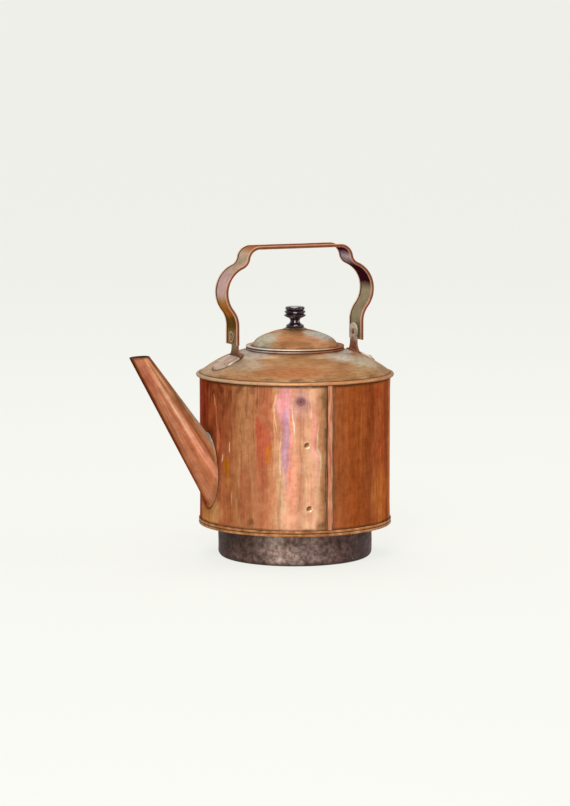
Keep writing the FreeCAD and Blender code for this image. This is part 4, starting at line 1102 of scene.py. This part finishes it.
def lidGrid():
    # Crown and shoulder arcs down to the flange, round the rolled rim, and the same arcs one wall in back
    # to the screw hole, with faint hammer waves between knob and rim.
    top = lid["under"] + lid["wall"]
    turnAt = angleTo(lid["shoulder"], lid["crown"])
    foot = math.degrees(math.asin((top - lid["shoulder"][1]) / lid["shoulderArc"]))
    small, large = lid["shoulderArc"] - lid["wall"], lid["crownArc"] - lid["wall"]
    footIn = math.degrees(math.asin((lid["under"] - lid["shoulder"][1]) / small))
    holeOut = math.degrees(math.acos(lid["hole"] / lid["crownArc"]))
    holeIn = math.degrees(math.acos(lid["hole"] / large))
    crown = bow(lid["crown"], lid["crownArc"], holeOut, turnAt, 26)
    shoulder = bow(lid["shoulder"], lid["shoulderArc"], turnAt, foot, 14)
    roll = bow(lid["bead"], lid["beadRadius"], 168, -90, 22)
    shoulderIn = bow(lid["shoulder"], small, footIn, turnAt, 10)
    crownIn = bow(lid["crown"], large, turnAt, holeIn, 16)
    over = outline(crown, shoulder, roll)
    at = turned(outline(over, shoulderIn, crownIn), lid["columns"])
    a, r = np.arctan2(at[..., 1], at[..., 0]), np.hypot(at[..., 0], at[..., 1])
    (start, end), grow = lid["wavesIn"], lid["waveGrow"]
    calm = np.clip((r - start) / grow, 0, 1) * np.clip((end - r) / grow, 0, 1)
    at[..., 2] += lid["uneven"] * calm * (np.cos(4 * a + 2) + np.cos(9 * a + r / 5))
    finish = np.arange(len(at)) >= len(over)
    return {"at": at, "wrap": (True, True), "finish": finish}


makePiece("lidCover", [lidGrid()], ["lid", "tin"], "lid", ["lid_cover"], 45)


# Bottom plate with its edge folded up round the drum

plate = {"hole": 88.35, "low": 38.1, "top": 39.3, "inner": 110.05, "root": 110.55, "crest": 111.3,
         "high": 44.9}


def plateGrid():
    # The flat plate out to the edge, two soft folds up the outside, and back down against the drum.
    low, high, root, crest, inner = plate["low"], plate["high"], plate["root"], plate["crest"], plate["inner"]
    middle = (low + high) / 2
    folds = [(root - 0.9, low), (root - 0.1, low), (root + 0.5, low + 0.25), (crest, low + 1.0),
             (crest, middle - 0.9), (root + 0.15, middle - 0.25), (root, middle),
             (root + 0.15, middle + 0.25), (crest - 0.08, middle + 0.9), (crest - 0.08, high - 1.0),
             (root + 0.3, high - 0.15), (inner, high)]
    fold = softened(np.array(folds), 2)
    inside = outline(run((inner, high), (inner, plate["top"]), 4),
                     run((inner, plate["top"]), (plate["hole"], plate["top"]), 6))
    profile = outline(run((plate["hole"], low), folds[0], 8), fold, inside)
    at = turned(profile, 260)
    crest01 = np.clip((profile[:, :1] - root - 0.15) / (crest - root - 0.3), 0, 1)
    return {"at": at, "wrap": (True, True), "marks": {"crest": crest01}}


makePiece("foldedPlate", [plateGrid()], ["fold"], "kettle", ["bottom_plate"], 60)


# Pit pan, sooted

pan = {"radius": 88.9, "corner": 6.0, "wall": 1.4, "depth": 38.05, "waist": 88.3, "edge": 94.0,
       "flange": (39.3, 40.5), "columns": 260, "uneven": 0.16}


def panGrid():
    # From the middle of the bottom, round the corner, up the wall to the flange over the plate, and down
    # inside. The wall is drawn in a little by waves round and up it.
    r, c, w = pan["radius"], pan["corner"], pan["wall"]
    under, over = pan["flange"]
    base = run((0, 0), (r - c, 0), 16)
    side = np.vstack([bow((r - c, c), c, -90, 0, 12), run((r, c), (r, pan["depth"]), 18)])
    rim = [(pan["waist"], pan["depth"]), (pan["waist"], under), (pan["edge"], under), (pan["edge"], over),
           (r - w, over)]
    inner = np.vstack([run((r - w, over), (r - w, c), 10), bow((r - c, c), c - w, 0, -90, 8),
                       run((r - c, w), (0, w), 8)])
    outer = outline(base, side, np.array(rim))
    at = turned(outline(outer, inner), pan["columns"])
    a, z = np.arctan2(at[..., 1], at[..., 0]), at[..., 2]
    reach = np.hypot(at[..., 0], at[..., 1])
    calm = np.clip(z / 8, 0, 1) * np.clip((pan["depth"] - z) / 6, 0, 1)
    wave = 1.2 + np.cos(6 * a) + np.cos(13 * a + z / 6)
    shrink = 1 - pan["uneven"] * calm * wave / np.maximum(reach, 1)
    at[..., :2] *= shrink[..., None]
    finish = np.arange(len(at)) >= len(outer)
    return {"at": at, "wrap": (False, True), "finish": finish}


makePiece("pitPan", [panGrid()], ["pan", "tin"], "kettle", ["pit_pan"], 45)


# Bail, a strap with wired hems

bail = {"half": 78.5, "pivot": pivotHeight, "drop": 9.0, "sweep": 28.0, "bulge": 31.5, "out": 13.4,
        "rise": 50.4, "hollow": 12.7, "inset": 13.9, "lean": 9.0, "corner": 14.0, "web": 0.75, "hem": 1.8,
        "hemAt": 14.7}


def bailPath():
    # leg, outward sweep, bulge, hollow, grip corner and half the bar, each arc tangent to the next, mirrored
    reach = bail["sweep"] + bail["bulge"]
    lean = math.degrees(math.acos((reach - bail["out"]) / reach))
    inward = bail["hollow"] + bail["bulge"]
    fold = math.degrees(math.acos((inward - bail["inset"] - bail["out"]) / inward))
    bulge = (bail["half"] + bail["out"] - bail["bulge"], bail["pivot"] + bail["rise"])
    legTop = bulge[1] - reach * math.sin(math.radians(lean))
    hollow = (bail["half"] - bail["inset"] + bail["hollow"],
              bulge[1] + inward * math.sin(math.radians(fold)))
    tuck = math.radians(bail["lean"])
    span = bail["hollow"] + bail["corner"]
    corner = (hollow[0] - math.cos(tuck) * span, hollow[1] - math.sin(tuck) * span)
    barHeight = corner[1] + bail["corner"]
    half = outline(run((bail["half"], bail["pivot"] - bail["drop"]), (bail["half"], legTop), 12),
                   bow((bail["half"] + bail["sweep"], legTop), bail["sweep"], 180, 180 - lean, 14),
                   bow(bulge, bail["bulge"], -lean, fold, 34),
                   bow(hollow, bail["hollow"], 180 + fold, 180 + bail["lean"], 18),
                   bow(corner, bail["corner"], bail["lean"], 90, 22),
                   run((corner[0], barHeight), (0, barHeight), 14))
    return np.vstack([half, half[-2::-1] * (-1, 1)])


def strapSection():
    # Points (outward, across) round the strap: its outer face, a hem, its inner face and the other hem. The
    # edge mark is 0 where web and hem meet, rises to 1 at the hem's outermost line and falls below 0 on the
    # web.
    w, h, c = bail["web"], bail["hem"], bail["hemAt"]
    meet = math.asin(w / h)
    edge = c - math.sqrt(h * h - w * w)
    turn = np.linspace(math.pi - meet, meet - math.pi, 25)
    hem = np.stack([h * np.sin(turn), c + h * np.cos(turn)], 1)
    onHem = 1 - np.abs(turn) / (math.pi - meet)
    across = np.r_[-edge + 0.35, -edge + 0.9, np.linspace(-edge + 1.8, edge - 1.8, 13), edge - 0.9,
                   edge - 0.35]
    face = np.stack([0 * across + w, across], 1)
    onFace = (np.abs(across) - edge) / 3
    section = np.vstack([face, hem, face[::-1] * (-1, 1), hem[::-1] * (1, -1)])
    return section, np.r_[onFace, onHem, onFace, onHem]


def bailGrid():
    # The section stands square to the path. Both ends close on the strap's middle plane.
    path = bailPath()
    ahead = np.gradient(path, axis=0)
    ahead /= np.hypot(*ahead.T)[:, None]
    out = np.stack([ahead[:, 1], -ahead[:, 0]], 1)
    section, edge = strapSection()
    ends = [path[:1] * 0.94 + path[1:2] * 0.06, path[-1:] * 0.94 + path[-2:-1] * 0.06]
    path = np.vstack([path[:1], path[:1], ends[0], path[1:-1], ends[1], path[-1:], path[-1:]])
    out = np.vstack([out[:1], out[:1], out, out[-1:], out[-1:]])
    thick = np.r_[0, 0.86, np.ones(len(path) - 4), 0.86, 0][:, None]
    n = section[:, 0] * thick
    at = np.stack([path[:, :1] + out[:, :1] * n, section[:, 1] + 0 * n, path[:, 1:] + out[:, 1:] * n], -1)
    return {"at": at, "wrap": (False, True), "marks": {"edge": edge, "outward": np.sign(section[:, 0])}}


makePiece("bailStrap", [bailGrid()], ["bail"], "bail", ["bail_strap"], 35)


# Ears, an upright lug on an oval foot

ear = {"inner": 74.1, "outer": 76.5, "pivot": pivotHeight, "head": 10.0, "neck": 8.2, "flare": 12.0,
       "spread": 13.0, "soft": 0.7, "low": 229.5, "footAt": 84.3, "footWide": 16.5, "footLong": 17.5,
       "footThick": 2.0, "gap": 0.05}


def lugGrid():
    # the lug's outline, set in and rounded over towards each face, each face closed on the middle line
    s, x0, x1 = ear["soft"], ear["inner"], ear["outer"]
    footTop = float(domeTop((x0 + x1) / 2, ear["footThick"]))
    swell = math.degrees(math.acos(1 - (ear["spread"] - ear["neck"]) / ear["flare"]))
    neckLow = footTop + ear["flare"] * math.sin(math.radians(swell))
    headLow = math.degrees(math.acos(ear["neck"] / ear["head"]))
    flare = bow((ear["neck"] + ear["flare"], neckLow), ear["flare"], 180 + swell, 180, 14)
    head = bow((0, ear["pivot"]), ear["head"], -headLow, 90, 26)
    heel = (ear["spread"], ear["low"])
    half = outline(run((0, ear["low"]), heel, 5), run(heel, flare[0], 5), flare, run(flare[-1], head[0], 5),
                   head)
    loop = np.vstack([half, half[-2:0:-1] * (-1, 1)])
    along = np.roll(loop, -1, 0) - np.roll(loop, 1, 0)
    inward = np.stack([-along[:, 1], along[:, 0]], 1) / np.hypot(*along.T)[:, None]
    rows = [(s, x0), (s * 0.35, x0 + s * 0.2), (0, x0 + s * 0.8), (0, x1 - s * 0.8),
            (s * 0.35, x1 - s * 0.2), (s, x1)]
    rim = np.stack([np.stack([loop[:, 0] * 0 + x, *(loop + inward * d).T], 1) for d, x in rows])
    close = [np.stack([loop[:, 0] * 0 + x, loop[:, 0] * 0, loop[:, 1] + inward[:, 1] * s], 1)[None]
             for x in (x0, x1)]
    return np.concatenate([close[0], rim, close[1]])


def footGrid():
    # An oval of rings laid on the breast, its top edge rounded.
    t, gap = ear["footThick"] + ear["gap"], ear["gap"]
    rho = np.r_[np.linspace(0, 0.95, 14), 0.975, 0.993, 1.0, 1.0, np.linspace(0.985, 0, 8)][:, None]
    lift = np.r_[np.full(14, t), t - 0.12, t - 0.45, t - 1.0, gap + 0.1, np.full(8, gap)][:, None]
    a = np.linspace(0, 2 * np.pi, 96, endpoint=False)
    x = ear["footAt"] + ear["footWide"] * rho * np.cos(a)
    y = ear["footLong"] * rho * np.sin(a)
    return np.stack([x, y, domeTop(np.hypot(x, y), lift)], -1)


for name, side, node in (("earFront", -1, "ear_front"), ("earRear", 1, "ear_rear")):
    grids = [{"at": at * (side, 1, 1), "wrap": (False, True)} for at in (lugGrid(), footGrid())]
    makePiece(name, grids, ["ear"], "kettle", [node], 45)


# Knob, turned wood

knob = {"seat": levels("knob")[0], "columns": 120,
        # rings rubbed pale (radius, height), painted glints (angle, height, half width in degrees, half
        # height)
        "rings": [(10.1, 2.0), (12.4, 13.9), (12.0, 18.0), (11.1, 22.0)],
        "paintedGlints": [(-115, 7.0, 9, 2.0), (-112, 3.0, 16, 0.5), (-134, 12.2, 10, 0.8), (-60, 7.6, 9, 1.4),
                   (60, 6.2, 10, 2.0), (150, 7.0, 9, 1.8), (-114, 17.6, 10, 0.8), (-118, 23.8, 22, 0.5)],
        # radius and height above the seat
        "turning": [(0, 0), (9.6, 0), (10.3, 0.3), (10.3, 1.6), (10.1, 2.7), (8.8, 3.4), (6.8, 4.6),
                    (5.6, 6.4), (5.5, 8.2), (6.4, 9.9), (8.2, 11.0), (10.6, 11.9), (12.5, 13.3),
                    (12.6, 14.0), (12.3, 14.6), (11.0, 15.3), (10.2, 15.7), (10.2, 16.1), (11.2, 16.6),
                    (12.1, 17.3), (12.2, 18.0), (12.0, 18.7), (10.8, 19.4), (9.9, 19.7), (9.9, 20.1),
                    (10.8, 20.5), (11.2, 21.1), (11.2, 22.4), (10.8, 23.4), (9.4, 24.1), (5.0, 24.5),
                    (0, 24.6)]}


def knobGrid():
    # The turning with its corners cut, carried round. The crest mark is 1 on the rings' edges and on a few
    # painted glints, most on the waist: ovals round an angle from +X and a height.
    profile = softened(np.array(knob["turning"]), 2)
    at = turned(profile + (0, knob["seat"]), knob["columns"])
    r, z = profile[:, :1], profile[:, 1:]
    rings = 0.7 * sum(np.exp(-((z - h) / 0.5) ** 2) * np.clip((r - size + 1.0) / 0.8, 0, 1)
                      for size, h in knob["rings"])
    a = np.degrees(np.arctan2(at[..., 1], at[..., 0]))
    spots = [np.hypot(((a - turn + 180) % 360 - 180) / wide, (z - h) / tall)
             for turn, h, wide, tall in knob["paintedGlints"]]
    paintedGlints = sum(3.0 * np.clip(1.3 - spot, 0, 1) for spot in spots)
    return {"at": at, "wrap": (False, True), "marks": {"crest": rings + paintedGlints * (r > 1)}}


makePiece("lidKnob", [knobGrid()], ["knob"], "lid", ["knob"], 28)


# Carried over from the CAD as they are

carried = {"footRivet": ["ear_rivets_front", "ear_rivets_rear", "ear_rivet_burrs"],
           "pin": ["pivot_rivet_front", "pivot_rivet_rear"],
           "washer": ["pivot_spacers", "pivot_cap_washers"],
           "brass": ["knob_rosette", "knob_screw", "knob_washer"], "tin": ["lid_sleeve"],
           "iron": ["top_rim_wire", "neck_rim_wire", "lid_rim_wire", "bail_wire_left", "bail_wire_right"]}
for look, names in carried.items():
    for name in names:
        nodes[name].data.materials.clear()
        nodes[name].data.materials.append(finishes[look])
print("carried over:", sum(len(names) for names in carried.values()), "nodes")


# Floor, light and air

studio = {"floorRadius": 60.0, "pale": "#F6F6F0", "glow": 0.85, "shade": 0.14, "airLight": 0.62,
          "lampAim": 0.17,  # height that the lamps point at
          # place, size and watts of each soft lamp
          "lamps": [("keyLamp", (-1.5, -2.22, 2.1), 1.3, 56), ("sideLamp", (2.3, -1.2, 1.3), 1.4, 18),
                    ("topLamp", (0.2, 0.9, 2.6), 1.6, 22)]}


def seenByEye(tree):
    # 1 for a ray that shows the background: from the camera, off a glossy surface or through a clear one
    path = addNode(tree, "LightPath")
    links = {0: (path, "Is Camera Ray"), 1: (path, "Is Glossy Ray")}
    direct = addNode(tree, "Math", links, operation="ADD")
    links = {0: direct, 1: (path, "Is Transmission Ray")}
    return addNode(tree, "Math", links, operation="ADD", use_clamp=True)


floorMesh = bpy.data.meshes.new("studioFloor")
rim = np.linspace(0, 2 * np.pi, 96, endpoint=False)
floorAt = np.stack([np.cos(rim), np.sin(rim), 0 * rim], 1) * studio["floorRadius"]
floorMesh.from_pydata(floorAt, [], [list(range(96))])
floor = bpy.data.objects.new("studioFloor", floorMesh)
scene.collection.objects.link(floor)

# pale paper: it glows for the eye so that it stays pale, and a dull share keeps the kettle's shadow
paper = bpy.data.materials.new("paleFloor")
paper.use_nodes = True
tree = paper.node_tree
tree.nodes.clear()
pale = np.array(paint(studio["pale"]))
glow = addNode(tree, "Emission", {0: studio["pale"], 1: studio["glow"]})
dull = addNode(tree, "BsdfDiffuse", {0: (*(pale[:3] * studio["shade"]), 1)})
lit = addNode(tree, "AddShader", {0: glow, 1: dull})
plain = addNode(tree, "BsdfDiffuse", {0: studio["pale"]})
both = addNode(tree, "MixShader", {0: seenByEye(tree), 1: plain, 2: lit})
addNode(tree, "OutputMaterial", {0: both})
floorMesh.materials.append(paper)

# the air meets the far floor in the same tone: its glow plus what the air's own light adds to it
scene.world = bpy.data.worlds.new("studioAir")
scene.world.use_nodes = True
tree = scene.world.node_tree
tree.nodes.clear()
farTone = studio["glow"] + studio["shade"] * studio["airLight"]
sky = addNode(tree, "Background", {0: studio["pale"], 1: farTone})
soft = addNode(tree, "Background", {0: "#FFFFFF", 1: studio["airLight"]})
mixed = addNode(tree, "MixShader", {0: seenByEye(tree), 1: soft, 2: sky})
addNode(tree, "OutputWorld", {0: mixed})

for name, spot, size, watts in studio["lamps"]:
    lamp = bpy.data.lights.new(name, "AREA")
    lamp.shape = "DISK"
    lamp.size = size
    lamp.energy = watts
    hung = bpy.data.objects.new(name, lamp)
    hung.location = spot
    towards = Vector((0, 0, studio["lampAim"])) - Vector(spot)
    hung.rotation_euler = towards.to_track_quat("-Z", "Y").to_euler()
    scene.collection.objects.link(hung)
print("studio lit by", len(studio["lamps"]), "lamps")
